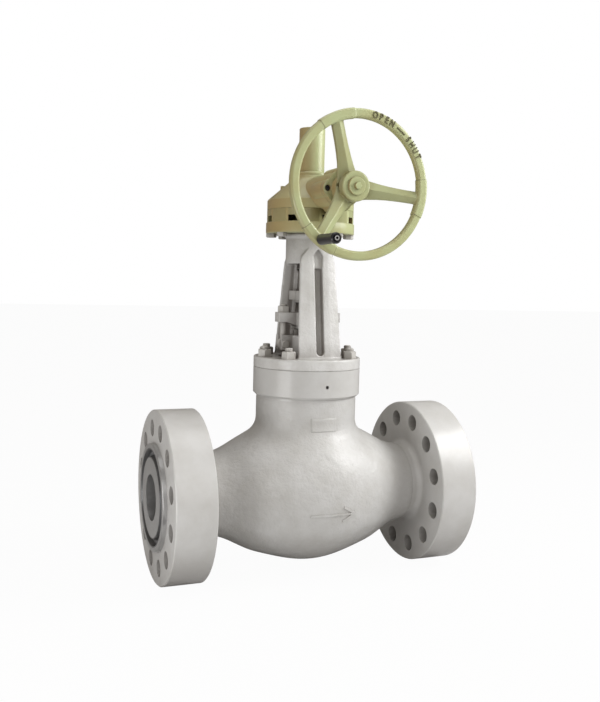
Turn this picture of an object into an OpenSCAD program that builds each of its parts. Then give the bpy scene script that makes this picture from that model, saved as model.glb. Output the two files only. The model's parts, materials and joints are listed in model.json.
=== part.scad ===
// Flanged globe shut-off valve with a pressure-seal bonnet and a bevel gear operator.
// +X runs along the pipe from inlet to outlet and +Z up the stem. The handwheel faces -Y.
// The origin is the centre of the inlet gasket face.

/* [Flanges] */
// Length over the two gasket faces
face_to_face = 1038; // [1034:1:1060]
// Outer diameter of a flange
flange_od = 552; // [545:1:580]
// Thickness of a flange behind its raised face
flange_t = 127; // [115:1:135]
// Diameter of the bolt circle
bolt_circle = 438.15; // [430:0.05:446]
// Number of bolt holes in a flange
bolt_count = 12; // [8:4:16]
// Diameter of a bolt hole
bolt_hole_d = 54; // [45:1:58]
// Outer diameter of the raised gasket face
raised_d = 340; // [330:1:350]
// Height of the raised gasket face
raised_h = 14.3; // [10:0.1:16]
// Pitch diameter of the ring groove
groove_pitch_d = 279.4; // [270:0.2:290]
// Width of the ring groove at its mouth
groove_w = 23; // [16:0.5:26]
// Depth of the ring groove
groove_depth = 14.3; // [8:0.1:16]
// Diameter of the pipe bore
bore_d = 146; // [130:1:150]
// Length of the straight bore behind each gasket face
bore_len = 300; // [280:1:310]

/* [Body] */
// Diameter of the body at its middle, about the pipe axis
bulb_d = 434; // [426:1:446]
// Half of the length over which the body bulges
bulb_half_len = 337; // [330:1:340]
// Diameter of the ball that holds the seat
ball_d = 494; // [486:1:500]
// Height of the middle of the ball above the pipe axis
ball_z = 14; // [10:1:18]
// Diameter of the barrel between the body and a flange
barrel_d = 264; // [250:1:280]
// Radius of the fillet behind a flange
hub_fillet = 18; // [10:1:25]
// Outer diameter of the neck
neck_d = 331; // [325:1:336]
// Radius of the blend from the ball into the neck
neck_blend = 30; // [28:1:34]
// Diameter of the collar at the top of the neck
collar_d = 354; // [350:1:364]
// Height of the underside of the collar above the pipe axis
collar_z = 317; // [310:1:325]
// Height of the top of the body above the pipe axis
body_top = 408; // [404:1:414]
// Diameter of the valve chamber
chamber_d = 300; // [280:1:310]
// Diameter of the bore of the neck
neck_bore_d = 244; // [238:1:248]
// Thickness of the wall that carries the seat
bridge_t = 74; // [66:1:80]
// Diameter of the boss under the body
foot_boss_d = 40; // [30:1:50]

/* [Bonnet and pressure seal] */
// Thickness of the bonnet disc
bonnet_disc_t = 58; // [50:1:62]
// Height of the pressure-seal gasket
gasket_h = 22; // [18:1:26]
// Height of the spacer ring
spacer_h = 33; // [28:1:36]
// Height of the segmented thrust ring
segment_h = 26; // [20:1:28]
// Depth of the groove of the thrust ring in the neck
segment_bite = 14; // [10:0.5:16]
// Diameter of the bonnet below the retainer
bonnet_shank_d = 184; // [180:1:190]
// Diameter of the stuffing box
stuffing_d = 132; // [124:1:136]
// Height of the top of the stuffing box above the yoke flange
stuffing_rise = 71; // [66:1:76]
// Thickness of the bonnet retainer
retainer_t = 22; // [18:1:24]
// Diameter of the push-out hole of the thrust ring
push_hole_d = 11; // [8:1:14]

/* [Packing and gland] */
// Diameter of the packing chamber
packing_d = 90; // [84:1:94]
// Height of one packing ring
packing_h = 13; // [11:0.5:14]
// Height of the lantern ring
lantern_h = 14; // [12:0.5:15]
// Height of the gland between the stuffing box and the gland flange
gland_rise = 30; // [26:1:34]
// Thickness of the gland flange at its middle
gland_flange_t = 44; // [38:1:46]
// Thickness of the gland flange at its ends
gland_end_t = 32; // [28:1:34]
// Distance from the stem axis to a gland eyebolt
gland_bolt_x = 86; // [84:1:90]
// Diameter of a gland eyebolt
eyebolt_d = 22; // [20:1:25]
// Diameter of an eyebolt pin
eye_pin_d = 18; // [14:1:20]

/* [Yoke] */
// Thickness of the yoke flange
yoke_flange_t = 35; // [30:1:40]
// Height of the yoke over its flange's underside
yoke_h = 437; // [430:1:450]
// Distance from the stem axis to the outside of a leg at the flange
leg_out_base = 119; // [116:1:122]
// Distance from the stem axis to the outside of a leg at its top
leg_out_top = 72; // [70:1:74]
// Width of a leg at the flange
leg_w_base = 150; // [146:1:154]
// Width of a leg under the head
leg_w_top = 121; // [118:1:124]
// Thickness of the wings of a leg
leg_wing_t = 24; // [22:1:25]
// Depth of the channel down the outside of a leg
channel_depth = 22; // [20:1:24]
// Width of that channel
channel_w = 27; // [22:1:30]
// Thickness of the wall round that channel
channel_wall = 12; // [10:0.5:13]
// Diameter of the head of the yoke
head_d = 156; // [152:1:160]
// Height of the head of the yoke
head_h = 98; // [90:1:104]
// Radius of the circle of yoke studs
yoke_stud_r = 149; // [147:0.5:150]
// Diameter of a yoke stud
yoke_stud_d = 24; // [20:1:25]

/* [Gear operator] */
// Outer diameter of the adaptor flange
adaptor_d = 290; // [288:1:296]
// Thickness of the adaptor flange
adaptor_t = 35; // [32:1:38]
// Outer diameter of the gear case
case_d = 284; // [282:1:288]
// Height of the windows round the gear case
window_h = 19; // [16:1:20]
// Width of a window
window_w = 34; // [28:1:38]
// Number of windows
window_count = 8; // [8:1:8]
// Height of the base of the gear case
base_h = 41; // [40:1:46]
// Height of the straight wall of the cover
cover_wall_h = 33; // [31:1:36]
// Height of the cone of the cover
cone_h = 62; // [60:1:66]
// Diameter at the top of the cone
cone_top_d = 136; // [130:1:140]
// Diameter of the circle of case screws
case_screw_circle = 254; // [252:1:256]
// Gear module
gear_module = 3.5; // [3.4:0.1:3.6]
// Teeth of the bevel pinion
pinion_teeth = 15; // [15:1:15]
// Teeth of the bevel gear
gear_teeth = 60; // [60:1:60]
// Height of the pinion shaft above the base of the gear case
pinion_rise = 49; // [48:0.5:51]
// Distance from the stem axis to the end of the neck of the cover
cover_neck_y = 236; // [232:1:240]
// Length of the pinion housing
housing_len = 21; // [20:1:24]
// Length of the seal boss in front of the pinion housing
seal_boss_len = 28; // [24:1:32]
// Outer diameter of the stem protector
tube_d = 84; // [82:1:88]
// Wall of the stem protector
tube_wall = 4; // [3:0.5:5]
// Length of the stem protector
tube_len = 155; // [150:1:165]

/* [Handwheel] */
// Outer diameter of the handwheel
wheel_d = 434; // [420:1:450]
// Radial width of the rim
rim_w = 27; // [24:1:30]
// Thickness of the rim
rim_t = 25; // [22:1:28]
// Distance from the stem axis to the front of the rim
rim_y = 378; // [374:1:384]
// Diameter of the hub
hub_d = 90; // [84:1:96]
// Length of the hub
hub_len = 57; // [52:1:60]
// Angle of the first spoke from +X towards +Z
spoke_angle = 112.5; // [100:0.5:125]
// Diameter of the input shaft
shaft_d = 30; // [28:1:32]
// Diameter of the spinner grip
grip_d = 32; // [30:1:36]
// Length of the spinner grip
grip_len = 104; // [95:1:115]
// Diameter of the pin of the grip
grip_pin_d = 14; // [12:1:16]

/* [Stem and disc] */
// Diameter of the stem through the packing
stem_d = 58; // [56:1:60]
// Diameter over the thread of the stem
thread_d = 56; // [54:0.5:56]
// Lift of the disc from closed to open
lift = 45; // [40:1:46]
// Outer diameter of the disc
disc_d = 172; // [168:1:178]
// Diameter of the opening of the seat ring
seat_d = 140; // [134:1:144]
// Height of the anti-rotation clamp
clamp_h = 30; // [26:1:34]
// Height of the clamp above the gland flange, valve closed
clamp_rise = 41; // [38:1:48]
// Running clearance on the radius
running_gap = 0.05; // [0.02:0.01:0.08]
// Clearance between parts that only pass each other
free_gap = 0.5; // [0.4:0.1:1]

/* [Hidden] */
$fn = 96;
tiny = 0.01;

cast_grey = "#c8c7c1";
bare_steel = "#9a9a98";
bolt_grey = "#b9b8b2";
gear_green = "#b8bd86";
bronze = "#b08d57";
graphite = "#4a4a4c";
grip_black = "#2b2c2e";

// Flanges and body
half_len = face_to_face / 2;
flange_back = half_len - raised_h - flange_t;
bore_r = bore_d / 2;
barrel_r = barrel_d / 2;
neck_r = neck_d / 2;
stud_edge = 27;
collar_r = max(collar_d / 2, yoke_stud_r + stud_edge);
ball_r = ball_d / 2;
chamber_r = chamber_d / 2;
neck_bore_r = neck_bore_d / 2;
bulb_stations = [0.34, 0.52, 0.66, 0.78];
bulb_fullness = 2.7;
collar_edge = 7;
bend_x = half_len - bore_len;
bend_relief = 4;
bridge_mid = 8;
bridge_low = bridge_mid - bridge_t / 2;
bridge_high = bridge_mid + bridge_t / 2;
bridge_reach = chamber_r + 30;
duct_rise = 86;
chamber_low = -168;
chamber_high = 186;
neck_bore_z = 214;
foot_boss_h = 8;
drilling_turn = 0.01;
outlet_hole_extra = 0.8;
foot_z = ball_z - ball_r + 2;

// Bonnet stack, from the seal downwards and upwards
segment_z = body_top - 63;
spacer_z = segment_z - spacer_h;
gasket_z = spacer_z - gasket_h;
bonnet_z = gasket_z - bonnet_disc_t;
segment_top = segment_z + segment_h;
segment_or = neck_bore_r + segment_bite;
bonnet_shank_r = bonnet_shank_d / 2;
shank_top = segment_top - 7;
stuffing_r = stuffing_d / 2;
stuffing_top = body_top + yoke_flange_t + stuffing_rise;
retainer_r = neck_bore_r - 3;
retainer_screw_r = (bonnet_shank_r + stuffing_r) / 2;
retainer_screws_n = 6;
retainer_screw_angles = [for (i = [0:retainer_screws_n - 1]) 30 + 60 * i];
retainer_hole_depth = 30;
screw_r = 5.9;
screw_hole_r = 6;
screw_head_r = 9;
screw_head_h = 12;

// Packing, counted up from the floor of its chamber
packing_r = packing_d / 2;
packing_floor = stuffing_top - 112;
junk_h = 10;
rings_below = 3;
rings_above = 2;
ring_gap = 0.3;
lantern_z = packing_floor + junk_h + rings_below * packing_h;
packing_end = lantern_z + lantern_h + rings_above * packing_h;
stem_r = stem_d / 2;
gland_bore_r = stem_r + free_gap;
gland_collar_z = stuffing_top + 6;
gland_flange_z = stuffing_top + gland_rise;
gland_flange_top = gland_flange_z + gland_flange_t;
gland_flange_r = 53;
gland_bar_end = 22;
gland_bar_w = 44;
gland_bar_x = gland_bolt_x + gland_bar_end;
lug_x = gland_bolt_x + 13;
lug_w = 46;
lug_h = 48;
lug_slot_w = eyebolt_d + 2;
eye_z = stuffing_top - lug_h / 2 - 6;
eye_d = 40;
eye_t = eyebolt_d + 1;
gland_nut_af = 36;
gland_nut_h = 21;

// Yoke
deck_z = body_top + yoke_flange_t;
yoke_top = body_top + yoke_h;
head_z = yoke_top - head_h;
head_r = head_d / 2;
head_lip_r = head_r + 6;
head_lip_h = 10;
yoke_hole_r = 93;
leg_run = 357;
leg_tilt = atan((leg_out_base - leg_out_top) / leg_run);
leg_len = (yoke_top - deck_z) / cos(leg_tilt);
leg_knee = leg_len * 0.77;
leg_sink = 20;
leg_ridge_x = 33;
leg_ridge_fall = 9;
leg_corner = 10;
leg_corner_angle = 155;
leaf_z = leg_len * 0.82;
leaf_depth = 11;
rib_half = channel_w / 2 + channel_wall;
rib_depth = channel_depth + channel_wall + 10;
yoke_stud_angles = [0, 45, 135, 180, 225, 315];
yoke_nut_af = 41;
yoke_nut_h = 24;
stud_end = 11;
stud_floor = 6;
stud_depth = body_top - segment_top - stud_floor;
stud_hole_depth = stud_depth + 2;

// Gear operator
sleeve_r = 50;
nut_or = 40;
journal_r = sleeve_r + 2;
adaptor_top = yoke_top + adaptor_t;
base_top = adaptor_top + base_h;
case_r = case_d / 2;
case_wall_r = 112;
case_floor = adaptor_top + window_h + 8;
shoulder_z = base_top + cover_wall_h;
cone_top_z = shoulder_z + cone_h;
case_screw_r = case_screw_circle / 2;
pinion_z = base_top + pinion_rise;
cover_seat_z = pinion_z + 13;
cover_roof_z = cover_seat_z + 17;
cover_flange_z = cone_top_z + 16;
tube_r = tube_d / 2;
tube_foot_r = tube_r + 16;
tube_foot_h = 10;
tube_top = cover_flange_z + tube_len;
adaptor_bore_r = 66;
yoke_screw_angles = [for (i = [0:5]) 30 + 60 * i];
yoke_screw_depth = 32;
adaptor_bolt_af = 30;
adaptor_bolt_head = 13;
adaptor_bolt_d = 20;
cover_screw_angles = [for (i = [1:7]) -90 + 45 * i];
spot_r = 10;
spot_z = shoulder_z - 6;
plug_r = 92;
plug_angle = 160;
plug_z = shoulder_z + (case_r - plug_r - 8) * cone_h / (case_r - cone_top_d / 2);

// Bearings
lower_bearing_z = case_floor;
lower_bearing_r = 76;
bearing_h = 12;
collar_gap = 0.3;
sleeve_collar_z = lower_bearing_z + bearing_h + collar_gap;
sleeve_collar_r = 66;
sleeve_collar_h = 8;
gear_seat_z = sleeve_collar_z + sleeve_collar_h;
upper_seat_r = 66;
upper_journal_r = 44;
sleeve_shoulder_z = cover_seat_z + 2;
sleeve_top = cover_roof_z + 6;
gear_hub_top = gear_seat_z + 22;
lock_nut_h = 12;

// Bevel gears: both pitch cones meet where the two axes cross
pinion_pitch_r = gear_module * pinion_teeth / 2;
gear_pitch_r = gear_module * gear_teeth / 2;
cone_ratio = 0.74;
tooth_up = 0.8 * gear_module;
tooth_down = 1.1 * gear_module;
tooth_root = 0.90 * gear_module;
tooth_mid = 0.68 * gear_module;
tooth_tip = 0.36 * gear_module;

// Pinion housing and shaft
shaft_r = shaft_d / 2;
neck_or = 56;
lobe_back_y = 159;
pinion_bore_r = pinion_pitch_r + tooth_up + 4;
lobe_angles = [0, 90, 180, 270];
lobe_centre_r = 39;
lobe_r = 28;
housing_screw_r = 51.5;
housing_screw_depth = 14;
housing_head_depth = 14;
seal_w = 10;
housing_y = cover_neck_y + housing_len;
seal_y = housing_y + seal_boss_len;
seal_boss_r = 40;
seal_r = shaft_r + 8;
pinion_bearing_w = 16;

// Handwheel
wheel_r = wheel_d / 2;
rim_mid_r = wheel_r - rim_w / 2;
hub_r = hub_d / 2;
hub_disc_t = 29;
hub_back_r = 31;
hub_back_y = seal_y + 3;
hub_y = hub_back_y + hub_len;
block_angle = 31;
block_extra = 1.6;
spoke_angles = [for (i = [0:2]) spoke_angle + 120 * i];
spoke_start_r = 24;
spoke_end_r = wheel_r - rim_w + 6;
spoke_w = 36;
spoke_flare = 34;
spoke_d = 24;
spoke_steps = 6;
spoke_back_y = hub_back_y + 10;
ridge_slope = 0.6;
washer_r = 27;
washer_t = 7;
wheel_bolt_af = 19;
wheel_bolt_head = 9;
grip_angle = spoke_angle + 120;
grip_x = rim_mid_r * cos(grip_angle);
grip_z = pinion_z + rim_mid_r * sin(grip_angle);
grip_r = grip_d / 2;
grip_pin_r = grip_pin_d / 2;
grip_foot = 7;
grip_y = rim_y + grip_foot;
grip_end = grip_y + grip_len;

// Stem and disc
thread_r = thread_d / 2;
seat_z = bridge_high - 26;
seat_h = 30;
seat_top = seat_z + seat_h;
disc_r = disc_d / 2;
disc_h = 48;
disc_top = seat_top + disc_h;
disc_nose_h = 16;
stem_foot_z = seat_top + 14;
stem_foot_r = 42;
stem_foot_h = 16;
disc_nut_h = 22;
stop_r = 40;
stop_top = bonnet_z - lift - 0.5;
stop_h = 16;
thread_rise = 100;
thread_z = gland_flange_top + thread_rise;
stem_head_room = 26;
stem_top = tube_top - lift - stem_head_room;
clamp_z = gland_flange_top + clamp_rise;
clamp_r = 46;
clamp_half = rib_half + 21;
clamp_slot = rib_half + 1;
clamp_reach = 58.5;
clamp_bolt_x = (clamp_slot + clamp_half) / 2;
clamp_bolt_r = 5.4;
clamp_head_r = 7.8;
clamp_head_h = 10;
clamp_fork_root = stem_r + 5;
clamp_tall = clamp_h + 40;
chamfer = 1.5;

// Helpers

// Moves what is drawn about the stem axis into the frame of the inlet face.
module on_stem() {
    translate([half_len, 0, 0]) children();
}

// Turns a shape drawn along +Z so that it runs along +X.
module along_pipe() {
    rotate([0, 90, 0]) children();
}

// Turns a shape drawn along +Z so that it runs along -Y from the stem axis, at the pinion's height.
module along_shaft() {
    translate([0, 0, pinion_z]) rotate([90, 0, 0]) children();
}

// A straight sleeve standing on z = 0.
module sleeve(outer, inner, height) {
    difference() {
        cylinder(r = outer, h = height);
        translate([0, 0, -1]) cylinder(r = inner, h = height + 2);
    }
}

// A round bar with its far end chamfered.
module bar(radius, length, bevel = chamfer) {
    rotate_extrude() polygon([[0, 0], [radius, 0], [radius, length - bevel],
        [radius - bevel, length], [0, length]]);
}

// A hexagon standing on z = 0, with corners turned off at its top.
module hexagon(across_flats, height) {
    corner = across_flats / cos(30) / 2;
    intersection() {
        cylinder(r = corner, h = height, $fn = 6);
        rotate_extrude() polygon([[0, 0], [corner + 1, 0], [corner + 1, height - 0.16 * corner],
            [across_flats / 2 * 0.96, height], [0, height]]);
    }
}

// A hexagon nut with a plain hole.
module hex_nut(across_flats, height, hole_r) {
    difference() {
        hexagon(across_flats, height);
        translate([0, 0, -1]) cylinder(r = hole_r, h = height + 2);
    }
}

// A cap screw with its head above z = 0 and its shank below.
module cap_screw(shank_r, shank_len, head_r, head_h) {
    translate([0, 0, -shank_len]) cylinder(r = shank_r, h = shank_len + 1);
    difference() {
        bar(head_r, head_h, 1);
        translate([0, 0, head_h * 0.45]) cylinder(r = shank_r, h = head_h, $fn = 6);
    }
}

// Copies the children round the Z axis at the given angles, at one radius.
module on_circle(angles, radius) {
    for (angle = angles) rotate([0, 0, angle]) translate([radius, 0, 0]) children();
}

// Radius of the body about the pipe axis, at a distance from the stem axis.
function bulb_radius(x) =
    bulb_d / 2 * sqrt(max(0, 1 - pow(abs(x) / bulb_half_len, bulb_fullness)));

// Body

module bulb() {
    reach = flange_back - hub_fillet + 1;
    join_x = bulb_half_len * pow(1 - pow(barrel_d / bulb_d, 2), 1 / bulb_fullness);
    side = concat([for (part = bulb_stations) [bulb_radius(part * bulb_half_len), part * bulb_half_len]],
        [[barrel_r, join_x], [barrel_r, reach], [0, reach]]);
    along_pipe() for (end = [0, 1]) mirror([0, 0, end]) rotate_extrude()
        polygon(concat([[0, -1], [side[0][0], -1]], side));
}

// Ball round the seat, blended into the neck.
module ball_and_neck() {
    blend_x = neck_r + neck_blend;
    blend_z = ball_z + sqrt(pow(ball_r + neck_blend, 2) - blend_x * blend_x);
    touch = ball_r / (ball_r + neck_blend);
    touch_x = blend_x * touch;
    touch_z = ball_z + (blend_z - ball_z) * touch;
    rotate_extrude() {
        intersection() {
            translate([0, ball_z]) circle(r = ball_r);
            translate([0, ball_z - ball_r]) square([ball_r, 2 * ball_r]);
        }
        difference() {
            polygon([[0, touch_z - 20], [touch_x - 12, touch_z - 20], [touch_x, touch_z],
                [blend_x, blend_z], [0, blend_z]]);
            translate([blend_x, blend_z]) circle(r = neck_blend);
        }
        translate([0, blend_z - 1]) square([neck_r, collar_z - blend_z + 2]);
        polygon([[0, collar_z], [collar_r - collar_edge, collar_z], [collar_r, collar_z + collar_edge],
            [collar_r, body_top - 1], [collar_r - 1, body_top], [0, body_top]]);
    }
}

// One flange with its fillet, drawn along +Z with its back face at z = 0.
module flange() {
    edge = 3;
    rotate_extrude() {
        polygon([[0, 0], [flange_od / 2 - edge, 0], [flange_od / 2, edge],
            [flange_od / 2, flange_t - edge], [flange_od / 2 - edge, flange_t],
            [raised_d / 2, flange_t], [raised_d / 2, flange_t + raised_h - 1],
            [raised_d / 2 - 1, flange_t + raised_h], [0, flange_t + raised_h]]);
        difference() {
            translate([0, -hub_fillet]) square([barrel_r + hub_fillet, hub_fillet + 1]);
            translate([barrel_r + hub_fillet, -hub_fillet]) circle(r = hub_fillet);
        }
    }
}

// Bolt holes and ring groove of one flange, in the flange's own frame. Each flange is drilled on its own,
// so the two rings of holes line up only within a drilling tolerance.
module flange_cuts(hole_d) {
    face = flange_t + raised_h;
    side = groove_depth * tan(23);
    on_circle([for (i = [0:bolt_count - 1]) (i + 0.5) * 360 / bolt_count], bolt_circle / 2)
        translate([0, 0, -hub_fillet]) cylinder(d = hole_d, h = face + 2 * hub_fillet);
    rotate_extrude() translate([groove_pitch_d / 2, face])
        polygon([[-groove_w / 2, tiny], [-groove_w / 2 + side, -groove_depth],
            [groove_w / 2 - side, -groove_depth], [groove_w / 2, tiny]]);
}

// Inlet passage that dives under the seat wall and outlet passage that leaves over it.
module passages() {
    duct_tilt = 90 - atan(duct_rise / bend_x);
    duct_len = sqrt(bend_x * bend_x + duct_rise * duct_rise) - 30;
    for (side = [-1, 1]) {
        along_pipe() translate([0, 0, side > 0 ? bend_x : -half_len - 1])
            cylinder(r = bore_r, h = half_len - bend_x + 1);
        translate([side * bend_x, 0, 0]) sphere(r = bore_r + bend_relief);
    }
    difference() {
        translate([-bend_x, 0, 0]) rotate([0, 180 - duct_tilt, 0]) cylinder(r = bore_r - 1, h = duct_len);
        translate([-bridge_reach, -chamber_r, bridge_low]) cube([2 * bridge_reach, 2 * chamber_r, chamber_high]);
    }
    difference() {
        translate([bend_x, 0, 0]) rotate([0, -duct_tilt, 0]) cylinder(r = bore_r - 1, h = duct_len);
        translate([-bridge_reach, -chamber_r, bridge_high - chamber_high]) cube([2 * bridge_reach, 2 * chamber_r, chamber_high]);
    }
}

module chamber() {
    corner = 40;
    rotate_extrude() {
        polygon([[0, chamber_low], [chamber_r - corner, chamber_low], [chamber_r, chamber_low + corner],
            [chamber_r, bridge_low - 12], [chamber_r - 12, bridge_low], [0, bridge_low]]);
        polygon([[0, bridge_high], [chamber_r - 12, bridge_high], [chamber_r, bridge_high + 12],
            [chamber_r, chamber_high], [neck_bore_r, neck_bore_z], [0, neck_bore_z]]);
        translate([0, neck_bore_z - 1]) square([neck_bore_r, body_top - neck_bore_z + 2]);
        translate([0, segment_z]) square([segment_or, segment_h]);
        translate([0, bridge_low - 1]) square([seat_d / 2, bridge_t + 2]);
        translate([0, seat_z]) square([disc_r + 6, bridge_high - seat_z + 1]);
    }
}

module body() {
    color(cast_grey) on_stem() {
        difference() {
            union() {
                bulb();
                ball_and_neck();
                for (turn = [0, 180]) rotate([0, 0, turn]) along_pipe()
                    translate([0, 0, flange_back]) flange();
                translate([0, 0, foot_z - foot_boss_h - 2]) cylinder(d = foot_boss_d, h = 30);
            }
            for (side = [0, 1]) rotate([0, 0, 180 * side]) along_pipe()
                translate([0, 0, flange_back]) rotate([0, 0, drilling_turn * side])
                    flange_cuts(bolt_hole_d + outlet_hole_extra * (1 - side));
            passages();
            chamber();
            translate([0, -neck_bore_r + 2, segment_z + segment_h / 2]) rotate([90, 0, 0])
                cylinder(d = push_hole_d, h = collar_r - neck_bore_r + 4);
            on_circle(yoke_stud_angles, yoke_stud_r)
                translate([0, 0, body_top - stud_hole_depth]) cylinder(d = yoke_stud_d, h = stud_hole_depth + 1);
        }
    }
}

module seat_ring() {
    color(bare_steel) on_stem() rotate_extrude()
        polygon([[seat_d / 2 - 4, seat_z], [disc_r + 5.7, seat_z], [disc_r + 5.7, seat_top - 4],
            [disc_r + 2, seat_top], [seat_d / 2 + 5, seat_top], [seat_d / 2 - 4, seat_top - 12]]);
}

// Bonnet and pressure seal

module bonnet() {
    disc_edge_r = neck_bore_r - 0.3;
    lug_z = stuffing_top - lug_h;
    color(bare_steel) on_stem() difference() {
        union() {
            rotate_extrude() polygon([[stop_r - 8, bonnet_z], [disc_edge_r - 4, bonnet_z],
                [disc_edge_r, bonnet_z + 4], [disc_edge_r, gasket_z - 10],
                [bonnet_shank_r, gasket_z + gasket_h - 4], [bonnet_shank_r, shank_top - 3],
                [bonnet_shank_r - 3, shank_top], [stuffing_r + 4, shank_top], [stuffing_r, shank_top + 4],
                [stuffing_r, stuffing_top - 2], [stuffing_r - 2, stuffing_top],
                [gland_bore_r, stuffing_top], [gland_bore_r, bonnet_z]]);
            translate([-lug_x, -lug_w / 2, lug_z]) cube([2 * lug_x, lug_w, lug_h]);
        }
        translate([0, 0, packing_floor]) cylinder(r = packing_r, h = stuffing_top);
        translate([0, 0, bonnet_z - 1]) cylinder(r = gland_bore_r, h = stuffing_top);
        translate([0, 0, bonnet_z - 1]) cylinder(r = stop_r + 3, h = 19);
        for (side = [-1, 1]) {
            translate([side > 0 ? gland_bolt_x - eye_d / 2 - 4 : -lug_x - 1, -lug_slot_w / 2, lug_z - 1])
                cube([lug_x - gland_bolt_x + eye_d / 2 + 5, lug_slot_w, lug_h + 2]);
            translate([side * gland_bolt_x, lug_w, eye_z]) rotate([90, 0, 0])
                cylinder(d = eye_pin_d + 0.2, h = 2 * lug_w);
        }
        on_circle(retainer_screw_angles, retainer_screw_r)
            translate([0, 0, shank_top - retainer_hole_depth]) cylinder(r = screw_hole_r, h = retainer_hole_depth + 1);
    }
}

module pressure_seal_gasket() {
    color(graphite) on_stem() rotate_extrude()
        polygon([[neck_bore_r - 0.3, gasket_z - 8], [neck_bore_r - 0.3, gasket_z + gasket_h],
            [bonnet_shank_r + 1.5, gasket_z + gasket_h], [bonnet_shank_r + 1.5, gasket_z + gasket_h - 3]]);
}

module spacer_ring() {
    color(bare_steel) on_stem() translate([0, 0, spacer_z])
        sleeve(neck_bore_r - 0.3, bonnet_shank_r + 1.5, spacer_h);
}

// Four segments that slide out into the groove of the neck.
module segment_ring() {
    split = 2;
    color(bare_steel) on_stem() difference() {
        translate([0, 0, segment_z]) sleeve(segment_or - 0.3, bonnet_shank_r + 5, segment_h - 0.3);
        for (turn = [45, 135]) rotate([0, 0, turn])
            translate([-neck_r, -split / 2, segment_z - 1]) cube([2 * neck_r, split, segment_h + 2]);
    }
}

module bonnet_retainer() {
    color(bare_steel) on_stem() difference() {
        translate([0, 0, segment_top]) sleeve(retainer_r, stuffing_r + 1, retainer_t);
        on_circle(retainer_screw_angles, retainer_screw_r)
            translate([0, 0, segment_top - 1]) cylinder(r = screw_hole_r + free_gap, h = retainer_t + 2);
    }
}

module retainer_screws() {
    color(graphite) on_stem() on_circle(retainer_screw_angles, retainer_screw_r)
        translate([0, 0, segment_top + retainer_t])
            cap_screw(screw_r, segment_top + retainer_t - shank_top + retainer_hole_depth - 4, screw_head_r, screw_head_h);
}

module backseat_bushing() {
    color(bare_steel) on_stem() rotate_extrude()
        polygon([[gland_bore_r, bonnet_z], [stop_r - 4, bonnet_z], [stop_r + 2.7, bonnet_z + 5],
            [stop_r + 2.7, bonnet_z + 17.7], [gland_bore_r, bonnet_z + 17.7]]);
}

// Packing and gland

module packing_rings() {
    color(graphite) on_stem() {
        for (i = [0:rings_below - 1]) translate([0, 0, packing_floor + junk_h + i * packing_h])
            sleeve(packing_r - 0.1, stem_r + running_gap, packing_h - ring_gap);
        for (i = [0:rings_above - 1]) translate([0, 0, lantern_z + lantern_h + i * packing_h])
            sleeve(packing_r - 0.1, stem_r + running_gap, packing_h - ring_gap);
    }
}

module lantern_ring() {
    color(bare_steel) on_stem() {
        translate([0, 0, packing_floor]) sleeve(packing_r - 0.2, gland_bore_r, junk_h - ring_gap);
        difference() {
            translate([0, 0, lantern_z]) sleeve(packing_r - 0.2, gland_bore_r, lantern_h - ring_gap);
            for (turn = [0, 60, 120]) rotate([0, 0, turn]) rotate([90, 0, 0])
                translate([0, lantern_z + lantern_h / 2, -packing_r]) cylinder(r = 2.5, h = 2 * packing_r);
        }
    }
}

module gland() {
    nose_r = packing_r - 0.3;
    color(bare_steel) on_stem() rotate_extrude()
        polygon([[gland_bore_r, packing_end], [nose_r, packing_end], [nose_r, gland_flange_z - 12],
            [nose_r + 9, gland_flange_z - 8], [nose_r + 9, gland_flange_z], [gland_bore_r, gland_flange_z]]);
}

module gland_flange() {
    under = gland_flange_t - gland_end_t;
    color(bare_steel) on_stem() difference() {
        intersection() {
            translate([0, 0, gland_flange_z]) linear_extrude(gland_flange_t) {
                circle(r = gland_flange_r);
                square([2 * gland_bar_x, gland_bar_w], center = true);
            }
            translate([0, gland_flange_r + 1, 0]) rotate([90, 0, 0]) linear_extrude(2 * gland_flange_r + 2)
                polygon([[-gland_bar_x - 1, gland_flange_z + under], [-gland_bolt_x + 8, gland_flange_z + under],
                    [-gland_flange_r + 8, gland_flange_z], [gland_flange_r - 8, gland_flange_z],
                    [gland_bolt_x - 8, gland_flange_z + under], [gland_bar_x + 1, gland_flange_z + under],
                    [gland_bar_x + 1, gland_flange_top], [-gland_bar_x - 1, gland_flange_top]]);
        }
        translate([0, 0, gland_flange_z - 1]) cylinder(r = gland_bore_r + 3, h = gland_flange_t + 2);
        for (side = [-1, 1]) translate([side * gland_bolt_x, 0, gland_flange_z - 1])
            cylinder(d = eyebolt_d + 2, h = gland_flange_t + 2);
    }
}

module gland_eyebolts() {
    color(bolt_grey) on_stem() for (side = [-1, 1]) translate([side * gland_bolt_x, 0, 0]) difference() {
        union() {
            translate([0, 0, eye_z + eye_d / 2 - 6])
                bar(eyebolt_d / 2, gland_flange_top + gland_nut_h + 6 - eye_z - eye_d / 2 + 6, 2);
            translate([0, eye_t / 2, eye_z]) rotate([90, 0, 0]) cylinder(d = eye_d, h = eye_t);
        }
        translate([0, eye_t, eye_z]) rotate([90, 0, 0]) cylinder(d = eye_pin_d + 0.2, h = 2 * eye_t);
    }
}

module eyebolt_pins() {
    color(bolt_grey) on_stem() for (side = [-1, 1]) translate([side * gland_bolt_x, 0, eye_z]) {
        translate([0, lug_w / 2 + 5, 0]) rotate([90, 0, 0]) bar(eye_pin_d / 2, lug_w + 5.5);
        translate([0, -lug_w / 2, 0]) rotate([90, 0, 0]) bar(eye_pin_d / 2 + 4, 5);
    }
}

module gland_nuts() {
    color(bolt_grey) on_stem() for (side = [-1, 1]) translate([side * gland_bolt_x, 0, gland_flange_top])
        hex_nut(gland_nut_af, gland_nut_h, eyebolt_d / 2 + running_gap);
}

// Yoke

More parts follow.
